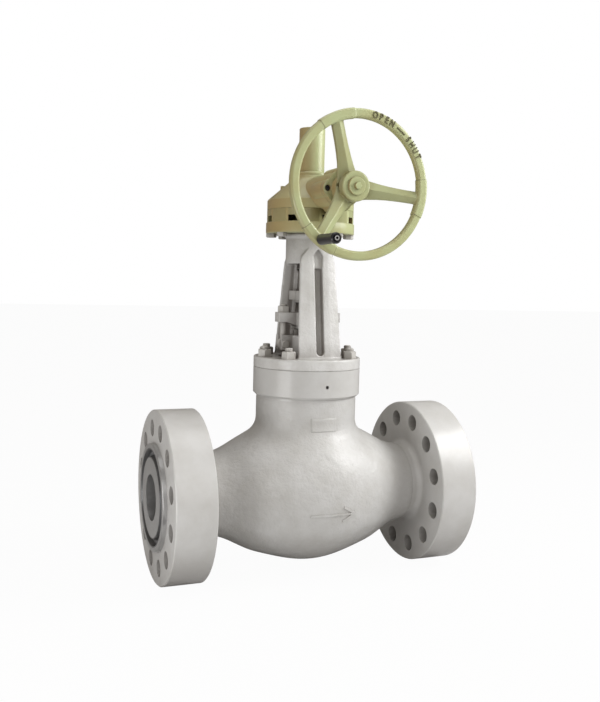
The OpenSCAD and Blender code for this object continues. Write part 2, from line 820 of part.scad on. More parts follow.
// Both wings of a leg, in the leg's own frame: x across, y inwards from its outer face, z up its slope.
// Their outer faces fall away from a ridge beside the channel and their inner corners are taken off.
module leg_wings() {
    half_base = leg_w_base / 2;
    half_top = leg_w_top / 2;
    edge_tilt = atan((half_base - half_top) / leg_knee);
    difference() {
        translate([0, leg_wing_t, 0]) rotate([90, 0, 0]) linear_extrude(leg_wing_t)
            polygon([[-half_base, -leg_sink], [half_base, -leg_sink], [half_base, 0], [half_top, leg_knee],
                [half_top - 6, leg_knee + 20], [half_top - 20, leg_knee + 38], [half_top - 42, leg_knee + 52],
                [-half_top + 42, leg_knee + 52], [-half_top + 20, leg_knee + 38], [-half_top + 6, leg_knee + 20],
                [-half_top, leg_knee], [-half_base, 0]]);
        for (side = [0, 1]) mirror([side, 0, 0]) {
            translate([leg_ridge_x, 0, -leg_sink]) rotate([0, 0, leg_ridge_fall]) translate([0, -leg_wing_t, 0])
                cube([leg_w_base, leg_wing_t, leg_len + leg_sink]);
            translate([half_base, leg_wing_t - leg_corner, 0]) rotate([0, -edge_tilt, 0]) rotate([0, 0, leg_corner_angle])
                translate([-leg_w_base / 2, -leg_wing_t, -leg_sink]) cube([leg_w_base, leg_wing_t, 2 * leg_len]);
        }
    }
}

// Channel down a leg, widening to a leaf with a point at its top.
module leg_channel() {
    half = channel_w / 2;
    start = 10 + half;
    out = leg_wing_t;
    translate([0, channel_depth, 0]) rotate([90, 0, 0]) linear_extrude(channel_depth + out) {
        translate([0, start]) circle(r = half);
        polygon([[-half, start], [half, start], [half, leaf_z - 40], [-half, leaf_z - 40]]);
    }
    translate([0, leaf_depth, 0]) rotate([90, 0, 0]) linear_extrude(leaf_depth + out)
        polygon([[-half, leaf_z - 60], [half, leaf_z - 60], [half, leaf_z - 42], [half + 3, leaf_z],
            [half - 3, leaf_z + 10], [1, leaf_z + 22], [-1, leaf_z + 22], [-half + 3, leaf_z + 10],
            [-half - 3, leaf_z], [-half, leaf_z - 42]]);
}

// Puts a leg that is drawn in its own frame where it stands on the yoke flange.
module on_leg() {
    for (turn = [0, 180]) rotate([0, 0, turn]) translate([0, -leg_out_base, deck_z]) rotate([-leg_tilt, 0, 0]) children();
}

module yoke() {
    color(cast_grey) on_stem() difference() {
        union() {
            rotate_extrude() polygon([[yoke_hole_r, body_top], [collar_r - 1, body_top],
                [collar_r, body_top + 1], [collar_r, deck_z - 2], [collar_r - 2, deck_z], [yoke_hole_r, deck_z]]);
            difference() {
                on_leg() {
                    leg_wings();
                    translate([-rib_half, 4, -leg_sink]) cube([2 * rib_half, rib_depth - 4, leg_len + leg_sink]);
                }
                translate([0, 0, deck_z - 2 * leg_sink]) cylinder(r = 2 * collar_r, h = 2 * leg_sink - tiny);
                translate([0, 0, deck_z - 1]) cylinder(r = stuffing_r + 2, h = stuffing_top + 4 - deck_z);
                translate([0, 0, yoke_top - 1]) cylinder(r = 2 * collar_r, h = 2 * leg_sink);
            }
            rotate_extrude() {
                translate([0, head_z]) square([head_r, head_h]);
                polygon([[0, yoke_top - head_lip_h], [head_r, yoke_top - head_lip_h - 5],
                    [head_lip_r, yoke_top - head_lip_h], [head_lip_r, yoke_top - 1],
                    [head_lip_r - 1, yoke_top], [0, yoke_top]]);
            }
        }
        on_leg() leg_channel();
        translate([0, 0, head_z - leg_sink]) cylinder(r = journal_r, h = head_h + 2 * leg_sink);
        on_circle(yoke_stud_angles, yoke_stud_r)
            translate([0, 0, body_top - 1]) cylinder(d = yoke_stud_d + 2, h = yoke_flange_t + 2);
        on_circle(yoke_screw_angles, adaptor_bore_r)
            translate([0, 0, yoke_top - yoke_screw_depth]) cylinder(r = screw_hole_r, h = yoke_screw_depth + 1);
    }
}

module yoke_studs() {
    color(bolt_grey) on_stem() on_circle(yoke_stud_angles, yoke_stud_r)
        translate([0, 0, body_top - stud_depth])
            bar(yoke_stud_d / 2 - running_gap, stud_depth + yoke_flange_t + yoke_nut_h + stud_end, 2);
}

module yoke_nuts() {
    color(bolt_grey) on_stem() on_circle(yoke_stud_angles, yoke_stud_r)
        translate([0, 0, deck_z]) rotate([0, 0, 12]) hex_nut(yoke_nut_af, yoke_nut_h, yoke_stud_d / 2 + running_gap);
}

// Gear operator

module gearbox_adaptor() {
    color(gear_green) on_stem() difference() {
        translate([0, 0, yoke_top]) rotate_extrude() polygon([[journal_r, 0], [adaptor_d / 2 - 2, 0],
            [adaptor_d / 2, 2], [adaptor_d / 2, adaptor_t - 2], [adaptor_d / 2 - 2, adaptor_t], [journal_r, adaptor_t]]);
        on_circle([for (i = [0:window_count - 1]) 22.5 + 45 * i], case_screw_r)
            translate([0, 0, yoke_top - 1]) cylinder(d = adaptor_bolt_d + 1, h = adaptor_t + 2);
        on_circle(yoke_screw_angles, adaptor_bore_r) translate([0, 0, yoke_top]) {
            translate([0, 0, -1]) cylinder(r = 6.5, h = adaptor_t);
            translate([0, 0, adaptor_t - 13]) cylinder(r = 9.5, h = 14);
        }
    }
}

module adaptor_screws() {
    color(graphite) on_stem() on_circle(yoke_screw_angles, adaptor_bore_r)
        translate([0, 0, adaptor_top - 13]) cap_screw(5.9, adaptor_t - 13 + 28, 9, 12);
}

module adaptor_bolts() {
    color(bolt_grey) on_stem() on_circle([for (i = [0:window_count - 1]) 22.5 + 45 * i], case_screw_r) {
        translate([0, 0, yoke_top - tiny]) bar(adaptor_bolt_d / 2 - running_gap, adaptor_t + window_h + 4);
        translate([0, 0, yoke_top]) mirror([0, 0, 1]) hexagon(adaptor_bolt_af, adaptor_bolt_head);
    }
}

module gearbox_base() {
    inner_hub_r = 76;
    window_depth = 34;
    color(gear_green) on_stem() difference() {
        translate([0, 0, adaptor_top]) rotate_extrude() polygon([[journal_r, 0], [case_r, 0],
            [case_r, base_h - 1], [case_r - 1, base_h], [case_wall_r, base_h], [case_wall_r, case_floor - adaptor_top],
            [journal_r, case_floor - adaptor_top]]);
        translate([0, 0, adaptor_top - 1]) sleeve(case_r - window_depth, inner_hub_r, window_h + 1);
        for (i = [0:window_count - 1]) rotate([0, 0, 45 * i])
            translate([case_r - window_depth - 4, -window_w / 2, adaptor_top - 1])
                cube([window_depth + 10, window_w, window_h + 1]);
        on_circle([for (i = [0:window_count - 1]) 22.5 + 45 * i], case_screw_r)
            translate([0, 0, adaptor_top - 1]) cylinder(d = adaptor_bolt_d, h = window_h + 6);
        on_circle(cover_screw_angles, case_screw_r)
            translate([0, 0, base_top - 14]) cylinder(r = 5, h = 20);
    }
}

// Cover with its cone, the neck for the pinion and the seat of the stem protector.
module gearbox_cover() {
    cone_bottom_z = shoulder_z - base_top;
    color(gear_green) on_stem() difference() {
        union() {
            translate([0, 0, base_top]) rotate_extrude() polygon([[0, 0], [case_r - 1, 0], [case_r, 1],
                [case_r, cone_bottom_z - 4], [case_r - 3, cone_bottom_z],
                [cone_top_d / 2, cone_top_z - base_top], [cone_top_d / 2 - 6, cone_top_z - base_top + 6],
                [tube_foot_r, cover_flange_z - base_top], [0, cover_flange_z - base_top]]);
            along_shaft() translate([0, 0, case_wall_r - 42]) cylinder(r = neck_or, h = lobe_back_y - case_wall_r + 43);
            along_shaft() translate([0, 0, lobe_back_y]) linear_extrude(cover_neck_y - lobe_back_y) lobed_outline();
            for (side = [-1, 1]) translate([side * 6 - 5, -lobe_back_y - 4, base_top + 2])
                cube([10, 60, 24]);
        }
        translate([0, 0, base_top]) rotate_extrude() polygon([[0, -1], [case_wall_r, -1],
            [case_wall_r, cover_wall_h - 2], [78, cover_seat_z - base_top - 1], [0, cover_seat_z - base_top - 1]]);
        translate([0, 0, cover_seat_z - 2]) cylinder(r = upper_seat_r, h = cover_roof_z - cover_seat_z + 2);
        translate([0, 0, cover_roof_z - 1]) cylinder(r = upper_journal_r + 3, h = 60);
        along_shaft() translate([0, 0, 70]) cylinder(r = pinion_bore_r, h = cover_neck_y);
        on_circle(cover_screw_angles, case_screw_r) translate([0, 0, base_top]) {
            translate([0, 0, -1]) cylinder(r = 5.5, h = cover_wall_h);
            translate([0, 0, spot_z - base_top]) cylinder(r = spot_r, h = 60);
        }
        along_shaft() on_circle(lobe_angles, housing_screw_r)
            translate([0, 0, cover_neck_y - housing_screw_depth]) cylinder(r = 5, h = housing_screw_depth + 1);
        translate([0, 0, base_top - neck_or]) cylinder(r = case_r + 1, h = neck_or);
        rotate([0, 0, plug_angle]) translate([plug_r, 0, shoulder_z + 10]) cylinder(r = screw_hole_r, h = cone_h);
        rotate([0, 0, plug_angle]) translate([plug_r, 0, plug_z]) cylinder(r = 11, h = cone_h);
    }
}

module cover_screws() {
    color(gear_green) on_stem() on_circle(cover_screw_angles, case_screw_r)
        translate([0, 0, spot_z]) cap_screw(4.9, spot_z - base_top + 13, 8, 10);
}

module grease_plug() {
    color(gear_green) on_stem() rotate([0, 0, plug_angle]) translate([plug_r, 0, plug_z]) {
        translate([0, 0, -14]) cylinder(r = screw_r, h = 15);
        hexagon(14, 11);
    }
}

// Two washers with a ring of rollers between them.
module thrust_bearing(outer, inner, height) {
    washer = height * 0.3;
    rollers = 16;
    sleeve(outer, inner, washer);
    translate([0, 0, height - washer]) sleeve(outer, inner, washer);
    for (i = [0:rollers - 1]) rotate([0, 0, i * 360 / rollers])
        translate([inner + 3, 0, height / 2]) rotate([0, 90, 0])
            cylinder(r = height / 2 - washer + 0.05, h = outer - inner - 6);
}

module lower_bearing() {
    color(bare_steel) on_stem() translate([0, 0, lower_bearing_z])
        thrust_bearing(lower_bearing_r, journal_r + 1, bearing_h);
}

module upper_bearing() {
    color(bare_steel) on_stem() translate([0, 0, sleeve_shoulder_z + collar_gap])
        thrust_bearing(upper_seat_r - 0.2, upper_journal_r + running_gap, cover_roof_z - sleeve_shoulder_z - collar_gap - 1);
}

// Outline shared by the end of the neck and the pinion housing: a round core with four bolt lobes.
module lobed_outline() {
    circle(r = neck_or);
    for (turn = lobe_angles) rotate(turn) translate([lobe_centre_r, 0]) circle(r = lobe_r);
}

// Housing that closes the neck and carries the shaft seal.
module pinion_housing() {
    color(gear_green) on_stem() along_shaft() difference() {
        union() {
            translate([0, 0, cover_neck_y]) linear_extrude(housing_len) lobed_outline();
            translate([0, 0, housing_y - 1]) bar(seal_boss_r, seal_boss_len + 1, 2);
        }
        translate([0, 0, cover_neck_y - 1]) cylinder(r = shaft_r + 3, h = housing_len + seal_boss_len + 2);
        translate([0, 0, seal_y - seal_w - 2]) cylinder(r = seal_r, h = seal_w + 4);
        on_circle(lobe_angles, housing_screw_r) {
            translate([0, 0, cover_neck_y - 1]) cylinder(r = 5.5, h = housing_len + 2);
            translate([0, 0, housing_y - housing_head_depth]) cylinder(r = 9.5, h = housing_head_depth + 1);
        }
    }
}

module housing_screws() {
    color(graphite) on_stem() along_shaft() on_circle(lobe_angles, housing_screw_r)
        translate([0, 0, housing_y - housing_head_depth])
            cap_screw(4.9, housing_len - housing_head_depth + housing_screw_depth - 2, 8, 10);
}

// Two plain bearing rings in the bore of the neck.
module pinion_bearings() {
    color(bare_steel) on_stem() along_shaft() for (start = [lobe_back_y, cover_neck_y - 1 - pinion_bearing_w])
        translate([0, 0, start]) sleeve(pinion_bore_r - running_gap, shaft_r + running_gap, pinion_bearing_w);
}

module shaft_seal() {
    color(graphite) on_stem() along_shaft() translate([0, 0, seal_y - seal_w - 2])
        sleeve(seal_r - running_gap, shaft_r + running_gap, seal_w);
}

module stem_protector() {
    inner = tube_r - tube_wall;
    color(gear_green) on_stem() translate([0, 0, cover_flange_z]) difference() {
        rotate_extrude() polygon([[inner, 0], [tube_foot_r, 0], [tube_foot_r, tube_foot_h - 2],
            [tube_foot_r - 2, tube_foot_h], [tube_r + 5, tube_foot_h], [tube_r, tube_foot_h + 5],
            [tube_r, tube_len - 5], [inner, tube_len - 5]]);
        translate([0, 0, -1]) cylinder(r = inner, h = 3);
    }
}

module protector_cap() {
    color(gear_green) on_stem() translate([0, 0, tube_top - 5]) {
        rotate_extrude() polygon([[0, 0], [tube_r, 0], [tube_r, 3.5], [tube_r - 1.5, 5], [0, 5]]);
        translate([0, 0, -8]) cylinder(r = tube_r - tube_wall - 0.2, h = 8.5);
    }
}

// Drive sleeve and bevel gear

module drive_sleeve() {
    low = yoke_top + 8;
    color(bare_steel) on_stem() difference() {
        rotate_extrude() polygon([[nut_or, low], [sleeve_r - 1.5, low], [sleeve_r, low + 1.5],
            [sleeve_r, sleeve_collar_z], [sleeve_collar_r, sleeve_collar_z], [sleeve_collar_r, gear_seat_z],
            [sleeve_r, gear_seat_z], [sleeve_r, sleeve_shoulder_z], [upper_journal_r, sleeve_shoulder_z],
            [upper_journal_r, sleeve_top], [nut_or - 6, sleeve_top], [nut_or - 6, sleeve_top - 8],
            [nut_or, sleeve_top - 8]]);
        translate([sleeve_r - 4, -6, gear_seat_z]) cube([10, 12, 24]);
    }
}

module stem_nut() {
    low = yoke_top + 8;
    color(bronze) on_stem() rotate_extrude()
        polygon([[thread_r + running_gap, low - 6], [sleeve_r - 1, low - 6], [sleeve_r - 1, low],
            [nut_or, low], [nut_or, sleeve_top - 8], [thread_r + running_gap, sleeve_top - 8]]);
}

// Toothed ring of the bevel gear, every edge tapering to the point where the two axes cross.
module gear_ring(low) {
    profile = [[-tooth_root, -tooth_down], [-tooth_mid, 0], [-tooth_tip, tooth_up],
        [tooth_tip, tooth_up], [tooth_mid, 0], [tooth_root, -tooth_down]];
    count = gear_teeth * len(profile);
    function top(scale) = [for (i = [0:gear_teeth - 1]) let (turn = (i + 0.5) * 360 / gear_teeth)
        for (p = profile) [gear_pitch_r * cos(turn) - p[0] * sin(turn),
            gear_pitch_r * sin(turn) + p[0] * cos(turn), p[1] - pinion_pitch_r] * scale];
    outer = top(1);
    inner = top(cone_ratio);
    points = concat(outer, inner, [for (p = outer) [p[0], p[1], low]], [for (p = inner) [p[0], p[1], low]]);
    function strip(a, b) = [for (i = [0:count - 1]) let (j = (i + 1) % count)
        [a * count + i, a * count + j, b * count + j, b * count + i]];
    polyhedron(points = points, faces = concat(strip(1, 0), strip(0, 2), strip(2, 3), strip(3, 1)));
}

module bevel_gear() {
    web_z = gear_seat_z + 12;
    color(bare_steel) on_stem() difference() {
        union() {
            rotate_extrude() polygon([[sleeve_r + 0.02, gear_seat_z], [gear_pitch_r - 12, gear_seat_z],
                [gear_pitch_r - 2, web_z - 2], [gear_pitch_r - 2, web_z], [sleeve_collar_r, web_z],
                [sleeve_collar_r, gear_hub_top], [sleeve_r + 0.02, gear_hub_top]]);
            translate([0, 0, pinion_z]) gear_ring(web_z - 3 - pinion_z);
        }
        translate([sleeve_r - 4, -6, gear_seat_z - 1]) cube([9, 12, 24]);
    }
}

module gear_key() {
    color(bare_steel) on_stem() translate([sleeve_r - 3.9, -5.9, gear_seat_z + 0.1]) cube([8.7, 11.8, 21.8]);
}

module sleeve_lock_nut() {
    color(bare_steel) on_stem() difference() {
        translate([0, 0, gear_hub_top]) sleeve(sleeve_collar_r - 2, sleeve_r + 0.02, lock_nut_h);
        for (i = [0:3]) rotate([0, 0, 90 * i]) translate([sleeve_collar_r - 8, -4, gear_hub_top - 1])
            cube([20, 8, lock_nut_h + 2]);
    }
}

// Stem and disc

module stem() {
    color(bare_steel) on_stem() difference() {
        rotate_extrude() polygon([[0, stem_foot_z], [stem_foot_r - 4, stem_foot_z], [stem_foot_r, stem_foot_z + 4],
            [stem_foot_r, stem_foot_z + stem_foot_h], [stem_r, stem_foot_z + stem_foot_h + 0.01],
            [stem_r, stop_top - stop_h], [stop_r - 4, stop_top - stop_h + 4], [stop_r - 4, stop_top - 1],
            [stop_r - 5, stop_top], [stem_r, stop_top + 0.01], [stem_r, thread_z], [thread_r, thread_z + 3],
            [thread_r, stem_top - 4], [thread_r - 4, stem_top], [0, stem_top]]);
    }
}

module disc() {
    nose_r = seat_d / 2 - 1;
    socket_r = stem_foot_r + 1;
    color(bare_steel) on_stem() difference() {
        rotate_extrude() polygon([[0, seat_top - disc_nose_h], [nose_r - 8, seat_top - disc_nose_h],
            [nose_r - 5.6, seat_top - 12.3], [nose_r + 5.7, seat_top + 0.3], [disc_r - 3, seat_top + 4],
            [disc_r, seat_top + 8], [disc_r, disc_top - 12], [disc_r - 12, disc_top], [0, disc_top]]);
        translate([0, 0, stem_foot_z - 0.3]) cylinder(r = socket_r, h = disc_h + 20);
        translate([0, 0, stem_foot_z + stem_foot_h + 0.4]) cylinder(r = socket_r + 6, h = disc_h);
    }
}

module disc_nut() {
    low = stem_foot_z + stem_foot_h + 0.4;
    color(bare_steel) on_stem() translate([0, 0, low])
        sleeve(stem_foot_r + 6.8, stem_r + 0.3, disc_nut_h);
}

// Clamp on the stem whose forks run on the ribs of the yoke.
module stem_clamp() {
    split = 2;
    low = clamp_z - 20;
    color(cast_grey) on_stem() difference() {
        union() {
            translate([0, 0, clamp_z - 8]) cylinder(r = clamp_r - 3, h = 9);
            translate([-clamp_half, -clamp_reach, clamp_z]) cube([2 * clamp_half, 2 * clamp_reach, clamp_h]);
        }
        translate([0, 0, low]) cylinder(r = stem_r + 0.02, h = clamp_tall);
        for (side = [0, 1]) mirror([0, side, 0]) translate([-clamp_slot, clamp_fork_root, low])
            cube([2 * clamp_slot, clamp_reach, clamp_tall]);
        translate([-clamp_half - 1, -split / 2, low]) cube([2 * clamp_half + 2, split, clamp_tall]);
        for (side = [-1, 1]) translate([side * clamp_bolt_x, clamp_reach + 1, clamp_z + clamp_h / 2])
            rotate([90, 0, 0]) {
                cylinder(r = clamp_bolt_r + 0.1, h = 2 * clamp_reach + 2);
                translate([0, 0, 2 * clamp_reach - clamp_head_h]) cylinder(r = clamp_head_r + free_gap, h = clamp_head_h + 2);
            }
    }
}

module clamp_bolts() {
    color(bolt_grey) on_stem() for (side = [-1, 1])
        translate([side * clamp_bolt_x, 0, clamp_z + clamp_h / 2]) rotate([90, 0, 0])
            translate([0, 0, clamp_reach - clamp_head_h + 1])
                cap_screw(clamp_bolt_r, 2 * clamp_reach - clamp_head_h - 4, clamp_head_r, clamp_head_h - 1);
}

// Pinion shaft and handwheel

module input_shaft() {
    start = gear_pitch_r * cone_ratio - 6;
    color(bare_steel) on_stem() along_shaft() difference() {
        translate([0, 0, start]) bar(shaft_r, hub_y - 1 - start);
        translate([shaft_r - 4, -4, hub_back_y + 6]) cube([10, 8, hub_len]);
        translate([0, 0, hub_y - 40]) cylinder(r = 6, h = 60);
    }
}

module bevel_pinion() {
    depth = gear_pitch_r * (1 - cone_ratio);
    step = 360 / pinion_teeth;
    root_r = pinion_pitch_r - tooth_down;
    tip_r = pinion_pitch_r + tooth_up;
    function at(radius, offset, turn) = radius * [cos(turn + offset), sin(turn + offset)];
    function lean(width, radius) = asin(width / radius);
    outline = [for (i = [0:pinion_teeth - 1]) let (turn = i * step - 90)
        each [at(root_r, -lean(tooth_root, root_r), turn), at(pinion_pitch_r, -lean(tooth_mid, pinion_pitch_r), turn),
            at(tip_r, -lean(tooth_tip, tip_r), turn), at(tip_r, lean(tooth_tip, tip_r), turn),
            at(pinion_pitch_r, lean(tooth_mid, pinion_pitch_r), turn), at(root_r, lean(tooth_root, root_r), turn)]];
    color(bare_steel) on_stem() along_shaft() difference() {
        translate([0, 0, gear_pitch_r]) mirror([0, 0, 1]) linear_extrude(depth, scale = cone_ratio) polygon(outline);
        translate([0, 0, gear_pitch_r - depth - 1]) cylinder(r = shaft_r + 0.02, h = depth + 2);
    }
}

// A ridged spoke, wide at the hub and leaning forwards to the rim.
module spoke() {
    run = spoke_end_r - spoke_start_r;
    lean = atan((rim_y - rim_t - 2 - spoke_back_y) / run);
    widest = (spoke_w + spoke_flare) / 2;
    edge = spoke_d - ridge_slope * widest;
    side = [for (i = [0:spoke_steps]) [spoke_start_r + run * i / spoke_steps,
        (spoke_w + spoke_flare * pow(1 - i / spoke_steps, 3)) / 2]];
    intersection() {
        translate([0, 0, hub_back_y]) linear_extrude(rim_y - hub_back_y)
            polygon(concat([for (i = [spoke_steps:-1:0]) [side[i][0], -side[i][1]]], side));
        translate([0, 0, spoke_back_y - spoke_start_r * tan(lean)]) rotate([0, -lean, 0]) rotate([90, 0, 90])
            linear_extrude(1.2 * wheel_r) polygon([[-widest, 0], [widest, 0], [widest, edge], [0, spoke_d], [-widest, edge]]);
    }
}

module rim_section(extra) {
    bevel = 5;
    inner = wheel_r - rim_w - extra;
    outer = wheel_r + extra;
    back = rim_y - rim_t - extra;
    front = rim_y + extra * 0.6;
    polygon([[inner + bevel, back], [outer - bevel, back], [outer, back + bevel], [outer, front - bevel],
        [outer - bevel, front], [inner + bevel, front], [inner, front - bevel], [inner, back + bevel]]);
}

module handwheel() {
    color(gear_green) on_stem() along_shaft() difference() {
        union() {
            rotate_extrude() rim_section(0);
            for (angle = spoke_angles) rotate([0, 0, angle - block_angle / 2])
                rotate_extrude(angle = block_angle) rim_section(block_extra);
            for (angle = spoke_angles) rotate([0, 0, angle]) spoke();
            translate([0, 0, hub_y - hub_disc_t]) rotate_extrude() polygon([[0, 0], [hub_r - 4, 0], [hub_r, 4],
                [hub_r, hub_disc_t - 3], [hub_r - 3, hub_disc_t], [0, hub_disc_t]]);
            translate([0, 0, hub_back_y]) cylinder(r = hub_back_r, h = hub_len - 2);
        }
        translate([0, 0, hub_back_y - 1]) cylinder(r = shaft_r + 0.02, h = hub_len + 2);
        translate([shaft_r - 4, -4, hub_back_y - 1]) cube([8, 8, hub_len + 2]);
        rotate([0, 0, grip_angle]) translate([rim_mid_r, 0, rim_y - rim_t - 3])
            cylinder(r = grip_pin_r, h = rim_t + 10);
    }
}

module wheel_key() {
    color(bare_steel) on_stem() along_shaft()
        translate([shaft_r - 3.9, -3.9, hub_back_y + 6.5]) cube([7.7, 7.8, hub_len - 8]);
}

module wheel_washer() {
    color(gear_green) on_stem() along_shaft() translate([0, 0, hub_y]) difference() {
        rotate_extrude() polygon([[0, 0], [washer_r, 0], [washer_r, washer_t - 2], [washer_r - 2, washer_t], [0, washer_t]]);
        translate([0, 0, -1]) cylinder(r = 6.3, h = washer_t + 2);
    }
}

module wheel_bolt() {
    color(gear_green) on_stem() along_shaft() {
        translate([0, 0, hub_y - 30]) cylinder(r = 5.9, h = 30 + washer_t + 1);
        translate([0, 0, hub_y + washer_t]) hexagon(wheel_bolt_af, wheel_bolt_head);
    }
}

module grip_pin() {
    color(bare_steel) on_stem() along_shaft() rotate([0, 0, grip_angle]) translate([rim_mid_r, 0, 0]) difference() {
        union() {
            translate([0, 0, rim_y - rim_t]) cylinder(r = grip_pin_r - 0.02, h = grip_end - rim_y + rim_t);
            translate([0, 0, rim_y + 1.2]) cylinder(r = grip_pin_r + 4, h = grip_foot - 1.5);
        }
        translate([0, 0, grip_end - 22]) cylinder(r = 3, h = 30);
    }
}

// Spinner grip with a softly waisted outline.
module grip() {
    waist = 1.2;
    steps = 8;
    color(grip_black) on_stem() along_shaft() rotate([0, 0, grip_angle]) translate([rim_mid_r, 0, grip_y])
        difference() {
            rotate_extrude() polygon(concat([[0, 0]], [[grip_r - 3, 0]],
                [for (i = [0:steps]) [grip_r - waist * sin(180 * i / steps), 3 + (grip_len - 6) * i / steps]],
                [[grip_r - 3, grip_len]], [[0, grip_len]]));
            translate([0, 0, -1]) cylinder(r = grip_pin_r + running_gap, h = grip_len + 2);
            translate([0, 0, grip_len - 5]) cylinder(r = 11, h = 10);
        }
}

module grip_screw() {
    color(bare_steel) on_stem() along_shaft() rotate([0, 0, grip_angle]) translate([rim_mid_r, 0, grip_end]) {
        translate([0, 0, -20]) cylinder(r = 2.9, h = 21);
        difference() {
            bar(grip_pin_r + 2, 4, 1);
            translate([0, 0, 2]) cylinder(r = 3, h = 6, $fn = 6);
        }
    }
}

body();
seat_ring();
bonnet();
pressure_seal_gasket();
spacer_ring();
segment_ring();
bonnet_retainer();
retainer_screws();
backseat_bushing();
packing_rings();
lantern_ring();
gland();
gland_flange();
gland_eyebolts();
eyebolt_pins();
gland_nuts();
yoke();
yoke_studs();
yoke_nuts();
gearbox_adaptor();
adaptor_screws();
adaptor_bolts();
gearbox_base();
gearbox_cover();
cover_screws();
grease_plug();
lower_bearing();
upper_bearing();
pinion_housing();
housing_screws();
pinion_bearings();
shaft_seal();
stem_protector();
protector_cap();
drive_sleeve();
stem_nut();
bevel_gear();
gear_key();
sleeve_lock_nut();
stem();
disc();
disc_nut();
stem_clamp();
clamp_bolts();
input_shaft();
bevel_pinion();
handwheel();
wheel_key();
wheel_washer();
wheel_bolt();
grip_pin();
grip();
grip_screw();
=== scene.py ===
"""Looks of a flanged globe shut-off valve with a bevel gear operator, dressed over its CAD solids.

Lengths are in metres, in the CAD frame: +X from inlet to outlet, +Z up the stem, handwheel towards -Y.
"""

import json
import math

import bmesh
import bpy
import numpy as np
from mathutils import Matrix, Vector


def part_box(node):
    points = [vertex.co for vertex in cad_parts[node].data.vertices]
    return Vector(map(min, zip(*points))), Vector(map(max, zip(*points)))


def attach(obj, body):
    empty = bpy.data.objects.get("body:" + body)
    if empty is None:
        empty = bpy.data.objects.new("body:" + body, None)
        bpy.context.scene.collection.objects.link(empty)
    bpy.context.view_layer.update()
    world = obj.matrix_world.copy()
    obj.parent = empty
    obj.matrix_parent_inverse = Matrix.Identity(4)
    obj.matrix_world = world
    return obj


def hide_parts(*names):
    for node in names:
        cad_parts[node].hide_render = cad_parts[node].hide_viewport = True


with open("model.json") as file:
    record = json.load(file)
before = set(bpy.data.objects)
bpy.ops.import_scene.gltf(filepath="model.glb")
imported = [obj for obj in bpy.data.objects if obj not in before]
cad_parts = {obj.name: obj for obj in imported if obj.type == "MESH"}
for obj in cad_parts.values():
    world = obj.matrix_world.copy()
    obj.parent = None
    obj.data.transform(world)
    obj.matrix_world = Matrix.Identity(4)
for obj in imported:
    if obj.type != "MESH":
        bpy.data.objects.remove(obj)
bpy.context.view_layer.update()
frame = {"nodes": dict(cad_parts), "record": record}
nodes = frame["nodes"]
body_of_node = {
    node: body
    for body, group in frame["record"]["behaviour"]["bodies"].items()
    for node in group
}
slot_of_node = {entry["node"]: entry["material_slot"] for entry in frame["record"]["subparts"]}

# Where things are
STEM_X = 0.519
FACE_TO_FACE = 1.038
RAISED_FACE_H = 0.0143
RAISED_FACE_R = 0.170
BARREL_R = 0.132
NECK_R = 0.1655
WHEEL_AXIS_Z = 0.970
WHEEL_FRONT_Y = -0.378
RIM_MID_R = 0.2035
RIM_INNER_R = 0.1875


# Shader nodes

def feed(tree, socket, value):
    """Sets a socket to a number or a colour, or links another socket to it."""
    if isinstance(value, bpy.types.NodeSocket):
        tree.links.new(value, socket)
    else:
        socket.default_value = value


def shader_group(name, inputs, outputs):
    """An empty shader node group with the given (name, socket type, default) inputs."""
    group = bpy.data.node_groups.new(name, "ShaderNodeTree")
    for label, kind, default in inputs:
        socket = group.interface.new_socket(label, in_out="INPUT", socket_type=kind)
        if default is not None:
            socket.default_value = default
    for label in outputs:
        kind = "NodeSocketColor" if label == "Color" else "NodeSocketFloat"
        group.interface.new_socket(label, in_out="OUTPUT", socket_type=kind)
    return group, group.nodes.new("NodeGroupInput"), group.nodes.new("NodeGroupOutput")


def place_group(tree, group, **values):
    node = tree.nodes.new("ShaderNodeGroup")
    node.node_tree = group
    for label, value in values.items():
        node.inputs[label.replace("_", " ")].default_value = value
    return node


def math_node(tree, operation, *values):
    node = tree.nodes.new("ShaderNodeMath")
    node.operation = operation
    for slot, value in enumerate(values):
        feed(tree, node.inputs[slot], value)
    return node.outputs[0]


def noise(tree, scale, detail=2.0, roughness=0.5):
    node = tree.nodes.new("ShaderNodeTexNoise")
    tree.links.new(tree.nodes.new("ShaderNodeTexCoord").outputs["Object"], node.inputs["Vector"])
    feed(tree, node.inputs["Scale"], scale)
    node.inputs["Detail"].default_value = detail
    node.inputs["Roughness"].default_value = roughness
    return node.outputs["Fac"]


def mix_color(tree, factor, a, b):
    """The colour a, turned towards b by the factor."""
    node = tree.nodes.new("ShaderNodeMix")
    node.data_type = "RGBA"
    tree.links.new(factor, node.inputs["Factor"])
    for label, value in (("A", a), ("B", b)):
        feed(tree, node.inputs[label], (*value, 1.0) if isinstance(value, tuple) else value)
    return node.outputs["Result"]


def own_axes(tree):
    """The x, y and z of a point in the object's own coordinates."""
    split = tree.nodes.new("ShaderNodeSeparateXYZ")
    tree.links.new(tree.nodes.new("ShaderNodeTexCoord").outputs["Object"], split.inputs[0])
    return split.outputs


def radius_of(tree, a, b):
    """Distance from the axis that the two given offsets are measured from."""
    a_square = math_node(tree, "MULTIPLY", a, a)
    b_square = math_node(tree, "MULTIPLY", b, b)
    return math_node(tree, "SQRT", math_node(tree, "ADD", a_square, b_square))


SWELL_SCALE = 26.0
PEEL_HEIGHT = 0.22


